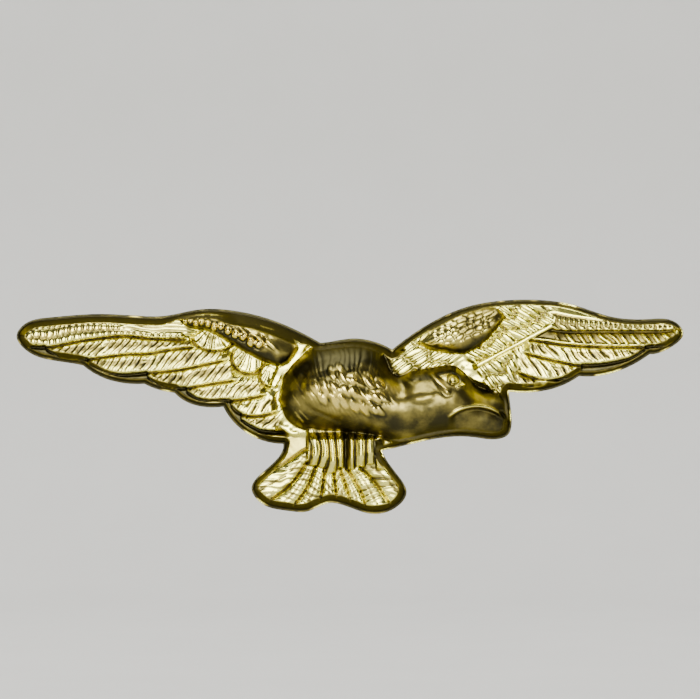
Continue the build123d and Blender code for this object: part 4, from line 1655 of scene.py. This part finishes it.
# ---------------------------------------------------------------- the studio
@dataclass
class Studio:
    """A pale cove, soft light from near the eye, and the camera square to the face."""

    view_width: float = 0.06306
    distance: float = 0.30
    eye_height: float = 0.0009
    floor: float = -0.055
    wall: float = 0.55

    def build(self) -> None:
        """Builds the cove, the lights and the camera."""
        self.build_cove()
        self.build_world()
        self.add_light("key", (0.0, -0.55, 0.10), 0.34, 5.3, (1.0, 0.99, 0.94))
        self.add_light("wall", (0.0, 0.12, 0.75), 0.5, 7.0, (1.0, 0.99, 0.97), (0.0, 0.55, 0.0))
        self.add_light("behind_left", (-0.34, 0.36, 0.24), 0.2, 1.1, (1.0, 0.98, 0.94))
        self.add_light("behind_right", (0.36, 0.34, 0.2), 0.2, 0.8, (1.0, 0.98, 0.94))
        self.add_camera()

    def build_cove(self) -> None:
        """Builds the floor and the wall behind as one curved sheet."""
        bend = 0.12
        line = [(-1.2, self.floor)]
        line += [(self.wall - bend + y, self.floor + bend + z)
                 for y, z in arc((0.0, 0.0), bend, -90, 0, 16)]
        line += [(self.wall, 0.9)]
        places = [(x, y, z) for y, z in line for x in (-1.3, 1.3)]
        faces = [(2 * k, 2 * k + 1, 2 * k + 3, 2 * k + 2) for k in range(len(line) - 1)]
        mesh = bpy.data.meshes.new("cove")
        mesh.from_pydata(places, [], faces)
        mesh.polygons.foreach_set("use_smooth", [True] * len(faces))
        cove = bpy.data.objects.new("cove", mesh)
        bpy.context.scene.collection.objects.link(cove)
        nodes = Nodes("pale_paper")
        where = nodes.add("ShaderNodeTexCoord").outputs["Object"]
        mottle = nodes.noise(where, 60.0, 3.0)
        nodes.link(nodes.blend(mottle, (0.62, 0.62, 0.60), (0.66, 0.66, 0.64)),
                   nodes.shader.inputs["Base Color"])
        nodes.shader.inputs["Roughness"].default_value = 0.85
        mesh.materials.append(nodes.material)

    def add_camera(self) -> None:
        """Adds the camera, far enough back that the badge fills the view's width."""
        data = bpy.data.cameras.new("camera")
        data.sensor_width = 36.0
        data.lens = 36.0 * self.distance / self.view_width
        data.clip_start = 0.01
        camera = bpy.data.objects.new("camera", data)
        camera.location = (0.0, -self.distance, self.eye_height)
        camera.rotation_euler = (math.pi / 2, 0.0, 0.0)
        bpy.context.scene.collection.objects.link(camera)
        bpy.context.scene.camera = camera

    def build_world(self) -> None:
        """Makes the air dim in front of the face and paler overhead and behind."""
        world = bpy.data.worlds.new("studio")
        bpy.context.scene.world = world
        world.use_nodes = True
        tree = world.node_tree
        where = tree.nodes.new("ShaderNodeTexCoord")
        split = tree.nodes.new("ShaderNodeSeparateXYZ")
        tree.links.new(where.outputs["Generated"], split.inputs[0])
        ramp = tree.nodes.new("ShaderNodeMapRange")
        tree.links.new(split.outputs["Y"], ramp.inputs["Value"])
        ramp.inputs["From Min"].default_value = -0.1
        ramp.inputs["From Max"].default_value = 0.7
        ramp.inputs["To Min"].default_value = 0.04
        ramp.inputs["To Max"].default_value = 0.5
        tree.links.new(ramp.outputs[0], tree.nodes["Background"].inputs["Strength"])
        tree.nodes["Background"].inputs["Color"].default_value = (0.95, 0.97, 1.0, 1.0)

    def add_light(self, name: str, place: Place, size: float, power: float, colour: Colour,
                  aim: Place = (0.0, 0.0, 0.0)) -> None:
        """Adds a square soft light, which faces the badge unless aimed elsewhere.

        Args:
            name: the light's name.
            place: where it hangs, in metres.
            size: its side.
            power: in watts.
            colour: its colour.
            aim: what it faces.
        """
        data = bpy.data.lights.new(name, "AREA")
        data.size, data.energy, data.color = size, power, colour
        light = bpy.data.objects.new(name, data)
        light.location = place
        light.rotation_euler = (Vector(aim) - Vector(place)).to_track_quat("-Z", "Y").to_euler()
        bpy.context.scene.collection.objects.link(light)


# ---------------------------------------------------------------- putting it together
def dress(piece: bpy.types.Object, node: str, body: str) -> None:
    """Puts a piece in its CAD node's place.

    Args:
        piece: the finished piece.
        node: the node that it stands for.
        body: the body that it moves with.
    """
    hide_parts(node)
    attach(piece, body)
    LOG.info("%s stands for %s on %s", piece.name, node, body)


def main() -> None:
    """Builds every piece in order, then the studio."""
    logging.basicConfig(level=logging.INFO, format="%(message)s")
    dress(EagleShell().build(), "eagle_shell", "badge")
    copper, braze = COPPER.material(), BRAZE.material()
    for lug in (Lug(-12.0, "left"), Lug(12.0, "right")):
        dress(lug.build_wire(copper), f"lug_{lug.side}", "badge")
        dress(lug.build_braze(braze), f"braze_{lug.side}", "badge")
    dress(SplitPin().build(PIN_BRASS.material()), "split_pin", "pin")
    Studio().build()


if __name__ == "__main__":
    main()
